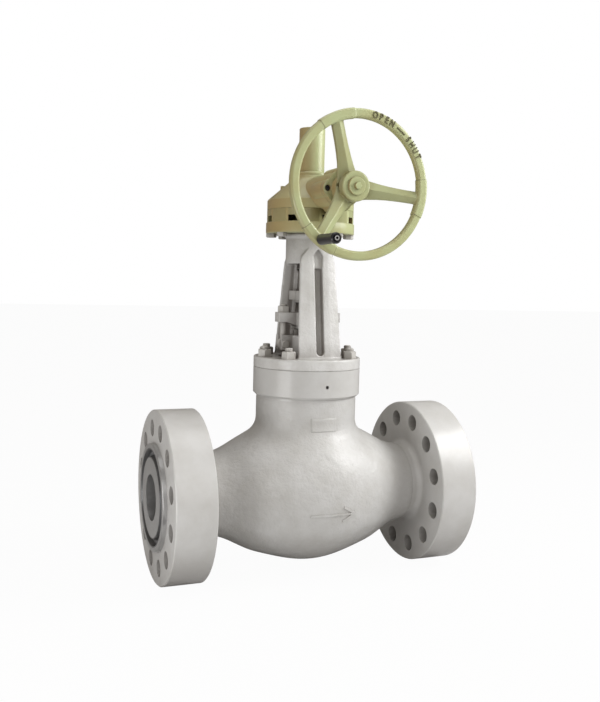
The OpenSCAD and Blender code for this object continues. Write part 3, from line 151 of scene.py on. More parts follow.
def build_cast_skin():
    """Height of painted cast steel: uneven swells, sand grain and the orange peel of the paint."""
    group, entry, leave = shader_group(
        "cast_skin",
        [("Swell", "NodeSocketFloat", 1.0), ("Grain", "NodeSocketFloat", 1.0),
         ("Grain Scale", "NodeSocketFloat", 160.0)],
        ["Height"],
    )
    swell = math_node(group, "MULTIPLY", noise(group, SWELL_SCALE, 6.0, 0.62), entry.outputs["Swell"])
    sand = noise(group, entry.outputs["Grain Scale"], 3.0, 0.6)
    peel = math_node(group, "MULTIPLY", sand, PEEL_HEIGHT)
    grain = math_node(group, "MULTIPLY", peel, entry.outputs["Grain"])
    group.links.new(math_node(group, "ADD", swell, grain), leave.inputs["Height"])
    return group


MOTTLE_FROM = 0.40
MOTTLE_TO = 0.72
MOTTLE_ROUGHER = 0.25
SHELTER_REACH = 0.19
SHELTER_SAMPLES = 8


def build_mottle_and_painted_shade():
    """Uneven paint: two shades mottled, painted shade in sheltered places and on faces turned to the left, and
    roughness to match.
    """
    group, entry, leave = shader_group(
        "mottle_and_painted_shade",
        [("Paint", "NodeSocketColor", None), ("Shade", "NodeSocketColor", None),
         ("Grime", "NodeSocketColor", None), ("Tan", "NodeSocketColor", None),
         ("Amount", "NodeSocketFloat", 0.4), ("Soil", "NodeSocketFloat", 0.6),
         ("Scale", "NodeSocketFloat", 9.0), ("Gloss", "NodeSocketFloat", 0.35),
         ("Tanned", "NodeSocketFloat", 0.0)],
        ["Color", "Roughness"],
    )
    spread = group.nodes.new("ShaderNodeMapRange")
    group.links.new(noise(group, entry.outputs["Scale"], 5.0, 0.62), spread.inputs["Value"])
    spread.inputs["From Min"].default_value = MOTTLE_FROM
    spread.inputs["From Max"].default_value = MOTTLE_TO
    amount = math_node(group, "MULTIPLY", spread.outputs["Result"], entry.outputs["Amount"])
    mottled = mix_color(group, amount, entry.outputs["Paint"], entry.outputs["Shade"])

    # Painted shade where the surface is sheltered, taken from ambient occlusion
    shelter = group.nodes.new("ShaderNodeAmbientOcclusion")
    shelter.samples = SHELTER_SAMPLES
    shelter.inputs["Distance"].default_value = SHELTER_REACH
    sheltered = math_node(group, "SUBTRACT", 1.0, shelter.outputs["AO"])
    shadow_amount = math_node(group, "MULTIPLY", sheltered, entry.outputs["Soil"])
    shadowed = mix_color(group, shadow_amount, mottled, entry.outputs["Grime"])

    # Painted shade on faces turned to the left, away from the key light
    facing = group.nodes.new("ShaderNodeSeparateXYZ")
    group.links.new(group.nodes.new("ShaderNodeNewGeometry").outputs["Normal"], facing.inputs[0])
    to_left = math_node(group, "MULTIPLY", facing.outputs["X"], -1.0)
    turned_left = math_node(group, "MAXIMUM", to_left, 0.0)
    left_shade_share = math_node(group, "MULTIPLY", turned_left, entry.outputs["Tanned"])
    group.links.new(mix_color(group, left_shade_share, shadowed, entry.outputs["Tan"]), leave.inputs["Color"])
    rougher = math_node(group, "MULTIPLY", amount, MOTTLE_ROUGHER)
    group.links.new(math_node(group, "ADD", entry.outputs["Gloss"], rougher), leave.inputs["Roughness"])
    return group


# The ends of the body that are machined bare, measured from the pipe axis and the stem axis
FACED_R = RAISED_FACE_R + 0.0006
FACED_FROM = FACE_TO_FACE / 2 - RAISED_FACE_H + 0.0004
BARE_BORE_R = 0.0738
BARE_BORE_FROM = 0.2
GROOVE_MIDDLE_R = 0.1400
GROOVE_HALF = 0.0152
GROOVE_FROM = FACE_TO_FACE / 2 - 0.018


def build_turned_rings():
    """Fine rings round the pipe axis, left by a facing cut, and where that cut and the ring groove are."""
    group, entry, leave = shader_group("turned_rings", [("Pitch", "NodeSocketFloat", 0.0012)],
                                       ["Height", "Faced", "Groove"])
    x, y, z = own_axes(group)
    radius = radius_of(group, y, z)
    turns = math_node(group, "DIVIDE", radius, entry.outputs["Pitch"])
    wave = math_node(group, "SINE", math_node(group, "MULTIPLY", turns, 2 * math.pi))
    group.links.new(wave, leave.inputs["Height"])
    from_middle = math_node(group, "ABSOLUTE", math_node(group, "SUBTRACT", x, STEM_X))

    def within(reach, start):
        inside = math_node(group, "LESS_THAN", radius, reach)
        return math_node(group, "MULTIPLY", inside, math_node(group, "GREATER_THAN", from_middle, start))

    faced = math_node(group, "MAXIMUM", within(FACED_R, FACED_FROM), within(BARE_BORE_R, BARE_BORE_FROM))
    group.links.new(faced, leave.inputs["Faced"])
    from_pitch = math_node(group, "ABSOLUTE", math_node(group, "SUBTRACT", radius, GROOVE_MIDDLE_R))
    in_groove = math_node(group, "LESS_THAN", from_pitch, GROOVE_HALF)
    outside = math_node(group, "GREATER_THAN", from_middle, GROOVE_FROM)
    group.links.new(math_node(group, "MULTIPLY", in_groove, outside), leave.inputs["Groove"])
    return group


# The thicker stretches of the rim: where the first one starts and which share of a third turn each takes
STRETCH_START = math.radians(97)
STRETCH_SHARE = 31 / 120
THIRD_TURN = math.radians(120)
LIT_STEP_HALF = math.radians(3)
STEP_SHADE_DARKNESS = 0.62


def build_rim_step_shade():
    """Painted shade: dark lines across the rim at the steps at the ends of its thicker stretches. The lit one
    at the top is left out.
    """
    group, entry, leave = shader_group("rim_step_shade", [("Width", "NodeSocketFloat", 0.0026)], ["Line"])
    x, _, z = own_axes(group)
    across = math_node(group, "SUBTRACT", x, STEM_X)
    up = math_node(group, "SUBTRACT", z, WHEEL_AXIS_Z)
    past_start = math_node(group, "SUBTRACT", math_node(group, "ARCTAN2", up, across), STRETCH_START)
    third = math_node(group, "DIVIDE", past_start, THIRD_TURN)
    turn = math_node(group, "FRACT", math_node(group, "ADD", third, 3.0))
    to_start = math_node(group, "MINIMUM", turn, math_node(group, "SUBTRACT", 1.0, turn))
    to_end = math_node(group, "ABSOLUTE", math_node(group, "SUBTRACT", turn, STRETCH_SHARE))
    to_joint = math_node(group, "MINIMUM", to_start, to_end)
    near = math_node(group, "LESS_THAN", to_joint, entry.outputs["Width"])
    on_rim = math_node(group, "GREATER_THAN", radius_of(group, across, up), RIM_INNER_R)
    off_top = math_node(group, "GREATER_THAN", math_node(group, "ABSOLUTE", past_start), LIT_STEP_HALF)
    shown = math_node(group, "MULTIPLY", on_rim, off_top)
    group.links.new(math_node(group, "MULTIPLY", near, shown), leave.inputs["Line"])
    return group


cast_skin = build_cast_skin()
mottle_and_painted_shade = build_mottle_and_painted_shade()
turned_rings = build_turned_rings()
rim_step_shade = build_rim_step_shade()


# Materials

# Colour of the painted shade in sheltered places: the mottle shade, darkened and warmed
SHADOW_DEPTH = 0.30
SHADOW_TINT = (1.0, 0.84, 0.74)
BODY_GREY = (0.610, 0.607, 0.595)
BODY_SHADE = (0.455, 0.442, 0.412)
YOKE_GREY = (0.690, 0.687, 0.675)
FASTENER_GREY = (0.60, 0.59, 0.565)
FASTENER_SHADE = (0.48, 0.465, 0.43)
OPERATOR_GREEN = (0.498, 0.550, 0.290)
OPERATOR_SHADE = (0.400, 0.330, 0.120)
# Colour of the painted shade on faces turned to the left
OPERATOR_LEFT_SHADE = (0.430, 0.315, 0.140)
# Painted shadow: the raised letters, and the lines at the steps of the rim
PAINTED_SHADOW_DARK = (0.130, 0.120, 0.050)
FACED_STEEL = (0.520, 0.520, 0.520)
# Painted shade in the ring groove of the gasket faces
GROOVE_SHADE = (0.130, 0.132, 0.135)
SCREW_BRIGHT = (0.72, 0.72, 0.71)
# Painted shadow in the socket of a screw and in the gap round its end
SOCKET_SHADOW = (0.020, 0.020, 0.022)
SOCKET_SHARE = 0.45
RING_SHARE = 0.74
COAT_ROUGHNESS = 0.12
WET_COAT_ROUGHNESS = 0.06
METAL_UNEVENNESS = 0.22
FACED_METALLIC = 0.85
FACED_RING_HEIGHT = 0.05


def new_material(name, color, roughness, metallic=0.0, coat=0.0):
    material = bpy.data.materials.new(name)
    material.use_nodes = True
    material.diffuse_color = (*color, 1.0)
    shader = material.node_tree.nodes["Principled BSDF"]
    shader.inputs["Base Color"].default_value = (*color, 1.0)
    shader.inputs["Roughness"].default_value = roughness
    shader.inputs["Metallic"].default_value = metallic
    shader.inputs["Coat Weight"].default_value = coat
    shader.inputs["Coat Roughness"].default_value = COAT_ROUGHNESS
    return material, material.node_tree, shader


def add_bump(tree, shader, height, distance):
    bump = tree.nodes.new("ShaderNodeBump")
    bump.inputs["Strength"].default_value = 1.0
    bump.inputs["Distance"].default_value = distance
    tree.links.new(height, bump.inputs["Height"])
    tree.links.new(bump.outputs["Normal"], shader.inputs["Normal"])
    tree.links.new(bump.outputs["Normal"], shader.inputs["Coat Normal"])


def paint(name, color, shade, gloss, coat, swell, grain, grain_scale=160.0, depth=0.0011, mottle=0.45,
          shadow_amount=0.95, left_shade=0.0):
    """Semi-gloss paint over a casting, with painted shade in sheltered places and, as much as asked, on faces
    turned to the left.
    """
    material, tree, shader = new_material(name, color, gloss, coat=coat)
    skin = place_group(tree, cast_skin, Swell=swell, Grain=grain, Grain_Scale=grain_scale)
    shadow_color = [SHADOW_DEPTH * part * tint for part, tint in zip(shade, SHADOW_TINT)]
    mottle_shade = place_group(tree, mottle_and_painted_shade, Paint=(*color, 1.0), Shade=(*shade, 1.0), Grime=(*shadow_color, 1.0),
                       Amount=mottle, Soil=shadow_amount, Gloss=gloss, Tan=(*OPERATOR_LEFT_SHADE, 1.0), Tanned=left_shade)
    tree.links.new(mottle_shade.outputs["Color"], shader.inputs["Base Color"])
    tree.links.new(mottle_shade.outputs["Roughness"], shader.inputs["Roughness"])
    add_bump(tree, shader, skin.outputs["Height"], depth)
    return material, tree, shader, mottle_shade, skin


def metal(name, color, roughness, scratch=260.0, depth=0.00006):
    """Bare metal with fine, uneven machining."""
    material, tree, shader = new_material(name, color, roughness, metallic=1.0)
    fine = noise(tree, scratch, 4.0, 0.6)
    spread = math_node(tree, "MULTIPLY", fine, METAL_UNEVENNESS)
    uneven = math_node(tree, "ADD", spread, roughness - METAL_UNEVENNESS / 2)
    tree.links.new(uneven, shader.inputs["Roughness"])
    add_bump(tree, shader, fine, depth)
    return material


def matte(name, color, roughness, scale, depth, coat=0.0):
    """A dull, fine-grained surface."""
    material, tree, shader = new_material(name, color, roughness, coat=coat)
    add_bump(tree, shader, noise(tree, scale, 3.0), depth)
    return material


def wheel_finish():
    """The paint of the handwheel, with painted shade lines at the steps of its rim."""
    material, tree, shader, mottle_shade, _ = paint("handwheel_green_paint", OPERATOR_GREEN, OPERATOR_SHADE, gloss=0.34,
                                            coat=0.25, swell=0.35, grain=1.0, grain_scale=300.0, depth=0.0007,
                                            left_shade=0.45)
    # Painted shade lines at the steps of the rim
    line = math_node(tree, "MULTIPLY", place_group(tree, rim_step_shade).outputs["Line"], STEP_SHADE_DARKNESS)
    tree.links.new(mix_color(tree, line, mottle_shade.outputs["Color"], PAINTED_SHADOW_DARK), shader.inputs["Base Color"])
    return material


def painted_flanges():
    """The paint of the body, left off the gasket faces and the bore, with painted shade in the ring groove."""
    material, tree, shader, mottle_shade, skin = paint("valve_body_finish", BODY_GREY, BODY_SHADE, gloss=0.30,
                                               coat=0.25, swell=0.5, grain=0.5, depth=0.0010, shadow_amount=0.6)
    rings = place_group(tree, turned_rings)
    faced = rings.outputs["Faced"]
    bare = mix_color(tree, faced, mottle_shade.outputs["Color"], FACED_STEEL)
    # Painted shade in the ring groove
    grooved = mix_color(tree, rings.outputs["Groove"], bare, GROOVE_SHADE)
    tree.links.new(grooved, shader.inputs["Base Color"])
    tree.links.new(math_node(tree, "MULTIPLY", faced, FACED_METALLIC), shader.inputs["Metallic"])
    cast = math_node(tree, "MULTIPLY", skin.outputs["Height"], math_node(tree, "SUBTRACT", 1.0, faced))
    ridges = math_node(tree, "MULTIPLY", rings.outputs["Height"], FACED_RING_HEIGHT)
    cut = math_node(tree, "MULTIPLY", ridges, faced)
    add_bump(tree, shader, math_node(tree, "ADD", cast, cut), 0.0010)
    return material


def ringed_screw_end(node):
    """Bright end of a screw, with painted shadow in its socket and in the gap round it."""
    material, tree, shader = new_material("ringed_screw_end", SCREW_BRIGHT, 0.25, metallic=0.6)
    low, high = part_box(node)
    reach = (high.x - low.x) / 2
    x, _, z = own_axes(tree)
    across = math_node(tree, "SUBTRACT", x, (low.x + high.x) / 2)
    up = math_node(tree, "SUBTRACT", z, (low.z + high.z) / 2)
    radius = radius_of(tree, across, up)
    socket = math_node(tree, "LESS_THAN", radius, reach * SOCKET_SHARE)
    gap = math_node(tree, "GREATER_THAN", radius, reach * RING_SHARE)
    dark = math_node(tree, "MAXIMUM", socket, gap)
    tree.links.new(mix_color(tree, dark, SCREW_BRIGHT, SOCKET_SHADOW), shader.inputs["Base Color"])
    return material


body_paint, _, wet_shader, *_ = paint("valve_grey_paint", BODY_GREY, BODY_SHADE, gloss=0.42, coat=0.42,
                                      swell=1.0, grain=0.9, grain_scale=130.0, depth=0.0046, mottle=0.6,
                                      shadow_amount=0.6)
wet_shader.inputs["Coat Roughness"].default_value = WET_COAT_ROUGHNESS
yoke_paint, *_ = paint("yoke_grey_paint", YOKE_GREY, BODY_SHADE, gloss=0.32, coat=0.4, swell=0.9, grain=1.0,
                       grain_scale=150.0, depth=0.0034, mottle=0.6)
# The letters are painted dark all over, as their painted shadow
letter_paint, *_ = paint("letter_shadow_paint", PAINTED_SHADOW_DARK, PAINTED_SHADOW_DARK, gloss=0.5, coat=0.0, swell=0.2,
                         grain=0.2)
operator_paint, *_ = paint("operator_green_paint", OPERATOR_GREEN, OPERATOR_SHADE, gloss=0.36, coat=0.2,
                           swell=0.3, grain=0.5, grain_scale=240.0, depth=0.0005, left_shade=0.95)
bolt_paint, *_ = paint("painted_fasteners", FASTENER_GREY, FASTENER_SHADE, gloss=0.38, coat=0.1, swell=0.15,
                       grain=0.3, grain_scale=320.0, depth=0.0003, mottle=0.6)
wheel_paint = wheel_finish()
stem_steel = metal("polished_stem_steel", (0.60, 0.59, 0.57), 0.22, 120.0, 0.00002)
by_slot = {
    "cast_paint": yoke_paint,
    "operator_paint": operator_paint,
    "bare_steel": metal("machined_steel", (0.52, 0.52, 0.51), 0.32),
    "fastener": bolt_paint,
    "dark_steel": metal("blackened_steel", (0.06, 0.06, 0.062), 0.42),
    "bronze": metal("nut_bronze", (0.62, 0.42, 0.20), 0.34),
    "graphite": matte("braided_graphite", (0.045, 0.046, 0.05), 0.6, 420.0, 0.0006),
    "grip_plastic": matte("grip_plastic", (0.014, 0.014, 0.016), 0.32, 500.0, 0.0001, 0.3),
}
by_node = {
    "body": painted_flanges(),
    "bonnet": yoke_paint,
    "stem": stem_steel,
    "grip_screw": ringed_screw_end("grip_screw"),
}
for name, node in nodes.items():
    node.data.materials.clear()
    node.data.materials.append(by_node.get(name, by_slot[slot_of_node[name]]))


# Meshes

def linked_object(name, data):
    piece = bpy.data.objects.new(name, data)
    bpy.context.scene.collection.objects.link(piece)
    return piece


def new_object(name, mesh, material, body, smooth_angle, replaced=()):
    """A finished piece that rides on a body. Its place is in its mesh."""
    piece = linked_object(name, mesh)
    mesh.materials.clear()
    mesh.materials.append(material)
    mesh.polygons.foreach_set("use_smooth", [True] * len(mesh.polygons))
    mesh.set_sharp_from_angle(angle=math.radians(smooth_angle))
    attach(piece, body)
    if replaced:
        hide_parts(*replaced)
    return piece


def mesh_from(name, verts, faces):
    mesh = bpy.data.meshes.new(name)
    mesh.from_pydata([tuple(v) for v in verts], [], [tuple(f) for f in faces])
    mesh.update()
    return mesh


def outward(mesh, merge):
    """Merges doubles and turns every face outwards."""
    work = bmesh.new()
    work.from_mesh(mesh)
    bmesh.ops.remove_doubles(work, verts=work.verts, dist=merge)
    bmesh.ops.recalc_face_normals(work, faces=work.faces)
    work.to_mesh(mesh)
    work.free()
    return mesh


def joined(name, meshes):
    work = bmesh.new()
    for mesh in meshes:
        work.from_mesh(mesh)
    result = bpy.data.meshes.new(name)
    work.to_mesh(result)
    work.free()
    return result


def merged_copy(node, flat=False):
    """A copy of a CAD node's mesh with its loose triangles joined, and its flat faces made whole if asked."""
    mesh = nodes[node].data.copy()
    work = bmesh.new()
    work.from_mesh(mesh)
    bmesh.ops.remove_doubles(work, verts=work.verts, dist=2e-6)
    if flat:
        bmesh.ops.dissolve_limit(work, angle_limit=math.radians(0.6), verts=work.verts, edges=work.edges)
    work.to_mesh(mesh)
    work.free()
    return mesh


def finished_mesh(holder):
    """The mesh of an object after its modifiers. The object itself is removed."""
    bpy.context.view_layer.update()
    mesh = bpy.data.meshes.new_from_object(holder.evaluated_get(bpy.context.evaluated_depsgraph_get()))
    bpy.data.objects.remove(holder)
    return mesh


def with_modifiers(name, mesh, settings):
    """The mesh after the given (type, {setting: value}) modifiers."""
    holder = linked_object(name, mesh)
    for kind, values in settings:
        modifier = holder.modifiers.new(kind.lower(), kind)
        for key, value in values.items():
            setattr(modifier, key, value)
    result = finished_mesh(holder)
    result.name = name
    return result


# Angles in degrees between faces, from which an edge is drawn sharp or is broken
CAST_SMOOTH = 60
EASED_SMOOTH = 30
EASED_FROM = 32


def recast(node, name, material, grain, rounds):
    """The CAD node as a sand casting: its edges and inner corners rounded over."""
    mesh = with_modifiers(name, merged_copy(node), [
        ("REMESH", {"mode": "VOXEL", "voxel_size": grain, "adaptivity": 0.0}),
        ("SMOOTH", {"factor": 0.5, "iterations": rounds}),
    ])
    return new_object(name, mesh, material, body_of_node[node], CAST_SMOOTH, [node])


def eased(node, name, material, width):
    """The CAD node with its sharp edges broken."""
    mesh = with_modifiers(name, merged_copy(node, flat=True), [
        ("BEVEL", {"width": width, "segments": 2, "limit_method": "ANGLE",
                   "angle_limit": math.radians(EASED_FROM), "use_clamp_overlap": True}),
    ])
    return new_object(name, mesh, material, body_of_node[node], EASED_SMOOTH, [node])


# Belly of the body, with its cast blends

BELLY_LENGTH = 0.3376
BELLY_R = 0.2185
BELLY_FULLNESS = 2.71
BELLY_MIDDLE_Z = 0.02
SEAT_BALL_R = 0.248
SEAT_BALL_Z = 0.014
BALL_BLEND = 0.029
BARREL_BLEND = 0.050
NECK_BLEND = 0.030
BELLY_RAY = (0.10, 0.52)
BELLY_END = 0.352
BELLY_TOP = 0.3155
SKIN = 0.0006
# Near its ends the skin dips this far, over a short run, to end inside the machined surfaces
DIP = 0.0016
DIP_X = 0.340
DIP_X_RUN = 0.012
DIP_Z = 0.306
DIP_Z_RUN = 0.008


def blend_union(a, b, size):
    share = np.clip(0.5 + 0.5 * (b - a) / size, 0.0, 1.0)
    return b * (1 - share) + a * share - size * share * (1 - share)


def belly_field(p):
    """Distance outside the body skin, for points measured from the stem axis and the pipe axis."""
    x, y, z = p[..., 0], p[..., 1], p[..., 2]
    round_pipe = np.hypot(y, z)
    along = np.abs(x) / BELLY_LENGTH
    level = along ** BELLY_FULLNESS + (round_pipe / BELLY_R) ** 2 - 1
    slope = np.hypot(BELLY_FULLNESS / BELLY_LENGTH * along ** (BELLY_FULLNESS - 1), 2 * round_pipe / BELLY_R**2)
    bulb = level / np.maximum(slope, 1.0)
    ball = np.sqrt(x * x + y * y + (z - SEAT_BALL_Z) ** 2) - SEAT_BALL_R
    barrel = round_pipe - BARREL_R + DIP * np.clip((np.abs(x) - DIP_X) / DIP_X_RUN, 0, 1)
    neck = np.hypot(x, y) - NECK_R + DIP * np.clip((z - DIP_Z) / DIP_Z_RUN, 0, 1)
    neck = np.maximum(neck, -z)
    shape = blend_union(bulb, ball, BALL_BLEND)
    shape = blend_union(shape, barrel, BARREL_BLEND)
    shape = blend_union(shape, neck, NECK_BLEND)
    shape = np.maximum(shape, np.abs(x) - BELLY_END)
    return np.maximum(shape, z - BELLY_TOP) - SKIN


def belly_mesh(cells):
    """Rays from the middle of the body through a gridded cube, each stopped at the skin."""
    middle = np.array([0.0, 0.0, BELLY_MIDDLE_Z])
    turn = np.tan(np.linspace(-math.pi / 4, math.pi / 4, cells + 1))
    u, v = np.meshgrid(turn, turn, indexing="ij")
    one = np.ones_like(u)
    verts, faces = [], []
    for side in ((one, u, v), (-one, u, v), (u, one, v), (u, -one, v), (u, v, one), (u, v, -one)):
        rays = np.stack(side, -1).reshape(-1, 3)
        rays /= np.linalg.norm(rays, axis=1)[:, None]
        near, far = (np.full(len(rays), reach) for reach in BELLY_RAY)
        for _ in range(26):
            half = (near + far) / 2
            inside = belly_field(middle + rays * half[:, None]) < 0
            near, far = np.where(inside, half, near), np.where(inside, far, half)
        start = len(verts)
        verts.extend(middle + rays * near[:, None] + [STEM_X, 0, 0])
        row = cells + 1
        for i in range(cells):
            for a in range(start + i * row, start + i * row + cells):
                faces.append((a, a + 1, a + row + 1, a + row))
    return outward(mesh_from("body_belly", verts, faces), 2e-6)


FRONT_RAY = (-0.30, -0.02)
PATCH_SINK = 0.004


def front_of_belly(x, z):
    """Where a ray along +Y from the front meets the skin, at x from the stem axis."""
    x, z = np.asarray(x, float), np.asarray(z, float)
    outside, inside = (np.full(x.shape, y) for y in FRONT_RAY)
    for _ in range(30):
        half = (outside + inside) / 2
        hit = belly_field(np.stack([x, half, z], -1)) < 0
        inside, outside = np.where(hit, half, inside), np.where(hit, outside, half)
    return inside


def raised_patch(name, outline_x, outline_z, rise):
    """A raised cast patch on the front: a grid of x and z rows that follows the skin, sunk in below."""
    rows, columns = outline_x.shape
    skin_y = front_of_belly(outline_x, outline_z)
    edge = np.zeros(outline_x.shape)
    edge[1:-1, 1:-1] = 1
    top = np.stack([outline_x + STEM_X, skin_y - rise * edge, outline_z], -1).reshape(-1, 3)
    low = np.stack([outline_x + STEM_X, skin_y + PATCH_SINK, outline_z], -1).reshape(-1, 3)
    under = rows * columns
    faces = []
    for i in range(rows - 1):
        for j in range(columns - 1):
            a, d = i * columns + j, (i + 1) * columns + j
            faces += [(a, a + 1, d + 1, d), (d + under, d + 1 + under, a + 1 + under, a + under)]
    last = (rows - 1) * columns
    rim = (list(range(columns)) + [i * columns + columns - 1 for i in range(1, rows)]
           + [last + j for j in range(columns - 2, -1, -1)] + [i * columns for i in range(rows - 2, 0, -1)])
    for a, b in zip(rim, rim[1:] + rim[:1]):
        faces.append((a, b, b + under, a + under))
    return outward(mesh_from(name, np.concatenate([top, low]), faces), 1e-7)


def shouldered(low, high, count, edge, shoulder):
    """Even steps from low to high, with two closer ones at each end."""
    return np.concatenate([[low, low + edge], np.linspace(low + shoulder, high - shoulder, count),
                           [high - edge, high]])


BAR_WIDTH = 0.008
BAR_RISE = 0.0030
BAR_EDGE = 0.0015
BAR_SHOULDER = 0.004
BAR_STEP = 0.004


def raised_bar(name, start, end):
    """A raised cast line between two points of the front view."""
    start, end = np.array(start), np.array(end)
    length = np.linalg.norm(end - start)
    direction = (end - start) / length
    across = np.array([-direction[1], direction[0]])
    along = shouldered(0.0, length, max(4, int(length / BAR_STEP)), BAR_EDGE, BAR_SHOULDER)
    sides = np.array([-0.5, -0.34, 0.0, 0.34, 0.5]) * BAR_WIDTH
    grid = start + along[:, None, None] * direction + sides[None, :, None] * across
    return raised_patch(name, grid[..., 0], grid[..., 1], BAR_RISE)


BELLY_CELLS = 104
new_object("body_belly", belly_mesh(BELLY_CELLS), body_paint, "valve", 75)

# A plain flow arrow from inlet to outlet
ARROW_Z = -0.036
ARROW_TAIL = -0.072
ARROW_TIP = 0.080
BARB_LENGTH = 0.042
BARB_SPREAD = 0.024
arrow = joined("flow_arrow", [
    raised_bar("arrow_shaft", (ARROW_TAIL, ARROW_Z), (ARROW_TIP, ARROW_Z)),
    raised_bar("arrow_barb_up", (ARROW_TIP - BARB_LENGTH, ARROW_Z + BARB_SPREAD), (ARROW_TIP, ARROW_Z)),
    raised_bar("arrow_barb_down", (ARROW_TIP - BARB_LENGTH, ARROW_Z - BARB_SPREAD), (ARROW_TIP, ARROW_Z)),
])
new_object("flow_arrow", arrow, body_paint, "valve", 50)

# A bare pad on the neck
PAD_X = (-0.046, 0.041)
PAD_Z = (0.214, 0.258)
PAD_RISE = 0.0022
PAD_EDGE = 0.0025
PAD_SHOULDER = 0.006
pad_x, pad_z = np.meshgrid(
    shouldered(*PAD_X, 16, PAD_EDGE, PAD_SHOULDER),
    shouldered(*PAD_Z, 8, PAD_EDGE, PAD_SHOULDER),
)
new_object("neck_pad", raised_patch("neck_pad", pad_x, pad_z, PAD_RISE), body_paint, "valve", 50)

# Castings and machined housings
FINE = 0.0026
WHEEL_FINE = 0.0017
recast("yoke", "yoke_casting", yoke_paint, FINE, 3)
recast("handwheel", "handwheel_casting", wheel_paint, WHEEL_FINE, 1)
clamp = eased("stem_clamp", "clamp_casting", yoke_paint, 0.0015)
eased("gland_flange", "gland_flange_forging", yoke_paint, 0.0015)
eased("gearbox_adaptor", "adaptor_plate", operator_paint, 0.0008)
eased("gearbox_base", "gear_case_base", operator_paint, 0.0010)
eased("gearbox_cover", "gear_case_cover", operator_paint, 0.0015)
eased("pinion_housing", "pinion_housing_casting", operator_paint, 0.0015)

# The fork of the clamp is opened a little, so that it clears the cast corners of the legs
FORK_ROOT = 0.034
FORK_WALL = 0.0265
FORK_END = 0.0585
FORK_SPREAD = 0.0008
FORK_CUT = 0.0014
WALL_NEAR = 0.0003
END_NEAR = 0.0004
for vert in clamp.data.vertices:
    across = vert.co.x - STEM_X
    if abs(vert.co.y) > FORK_ROOT and abs(abs(across) - FORK_WALL) < WALL_NEAR:
        vert.co.x += math.copysign(FORK_SPREAD, across)
    if abs(vert.co.y) > FORK_END - END_NEAR:
        vert.co.y -= math.copysign(FORK_CUT, vert.co.y)


# Threads, laid by one node tree at every point it is given

def build_helical_thread():
    """A rectangular ridge wound up a cylinder, at each vertex of the mesh it is put on."""
    tree = bpy.data.node_groups.new("helical_thread", "GeometryNodeTree")
    face = tree.interface
    face.new_socket("Geometry", in_out="INPUT", socket_type="NodeSocketGeometry")
    for label, default in (("Core Radius", 0.02), ("Depth", 0.002), ("Pitch", 0.009), ("Length", 0.1)):
        face.new_socket(label, in_out="INPUT", socket_type="NodeSocketFloat").default_value = default
    face.new_socket("Steps Per Turn", in_out="INPUT", socket_type="NodeSocketInt").default_value = 48
    face.new_socket("Left Hand", in_out="INPUT", socket_type="NodeSocketBool").default_value = False
    face.new_socket("Material", in_out="INPUT", socket_type="NodeSocketMaterial")
    face.new_socket("Geometry", in_out="OUTPUT", socket_type="NodeSocketGeometry")
    entry = tree.nodes.new("NodeGroupInput")
    leave = tree.nodes.new("NodeGroupOutput")

    spiral = tree.nodes.new("GeometryNodeCurveSpiral")
    turns = math_node(tree, "DIVIDE", entry.outputs["Length"], entry.outputs["Pitch"])
    half_depth = math_node(tree, "MULTIPLY", entry.outputs["Depth"], 0.5)
    middle = math_node(tree, "ADD", entry.outputs["Core Radius"], half_depth)
    tree.links.new(entry.outputs["Steps Per Turn"], spiral.inputs["Resolution"])
    tree.links.new(turns, spiral.inputs["Rotations"])
    tree.links.new(middle, spiral.inputs["Start Radius"])
    tree.links.new(middle, spiral.inputs["End Radius"])
    tree.links.new(entry.outputs["Length"], spiral.inputs["Height"])
    tree.links.new(entry.outputs["Left Hand"], spiral.inputs["Reverse"])

    upright = tree.nodes.new("GeometryNodeSetCurveNormal")
    upright.mode = "Z_UP"
    tree.links.new(spiral.outputs["Curve"], upright.inputs["Curve"])

    ridge = tree.nodes.new("GeometryNodeCurvePrimitiveQuadrilateral")
    ridge.mode = "RECTANGLE"
    tree.links.new(entry.outputs["Depth"], ridge.inputs["Width"])
    tree.links.new(math_node(tree, "MULTIPLY", entry.outputs["Pitch"], 0.5), ridge.inputs["Height"])

    sweep = tree.nodes.new("GeometryNodeCurveToMesh")
    tree.links.new(upright.outputs["Curve"], sweep.inputs["Curve"])
    tree.links.new(ridge.outputs["Curve"], sweep.inputs["Profile Curve"])
    sweep.inputs["Fill Caps"].default_value = True

    repeat = tree.nodes.new("GeometryNodeInstanceOnPoints")
    tree.links.new(entry.outputs["Geometry"], repeat.inputs["Points"])
    tree.links.new(sweep.outputs["Mesh"], repeat.inputs["Instance"])
    real = tree.nodes.new("GeometryNodeRealizeInstances")
    tree.links.new(repeat.outputs["Instances"], real.inputs["Geometry"])
    finish = tree.nodes.new("GeometryNodeSetMaterial")
    tree.links.new(real.outputs["Geometry"], finish.inputs["Geometry"])
    tree.links.new(entry.outputs["Material"], finish.inputs["Material"])
    tree.links.new(finish.outputs["Geometry"], leave.inputs["Geometry"])
    return tree


helical_thread = build_helical_thread()
thread_sockets = {
    item.name: item.identifier for item in helical_thread.interface.items_tree
    if item.item_type == "SOCKET" and item.in_out == "INPUT"
}


def thread_mesh(name, points, material, **sizes):
    """The mesh that the thread tree makes at the given points."""
    seed = bpy.data.meshes.new(name + "_points")
    seed.from_pydata([tuple(p) for p in points], [], [])
    holder = linked_object(name, seed)
    modifier = holder.modifiers.new("thread", "NODES")
    modifier.node_group = helical_thread
    modifier[thread_sockets["Material"]] = material
    for label, value in sizes.items():
        modifier[thread_sockets[label.replace("_", " ")]] = value
    return outward(finished_mesh(holder), 1e-7)


STEM_THREAD_R = 0.028
STEM_THREAD_DEPTH = 0.0038
STEM_THREAD_PITCH = 0.009
THREAD_NEAR = 0.0002


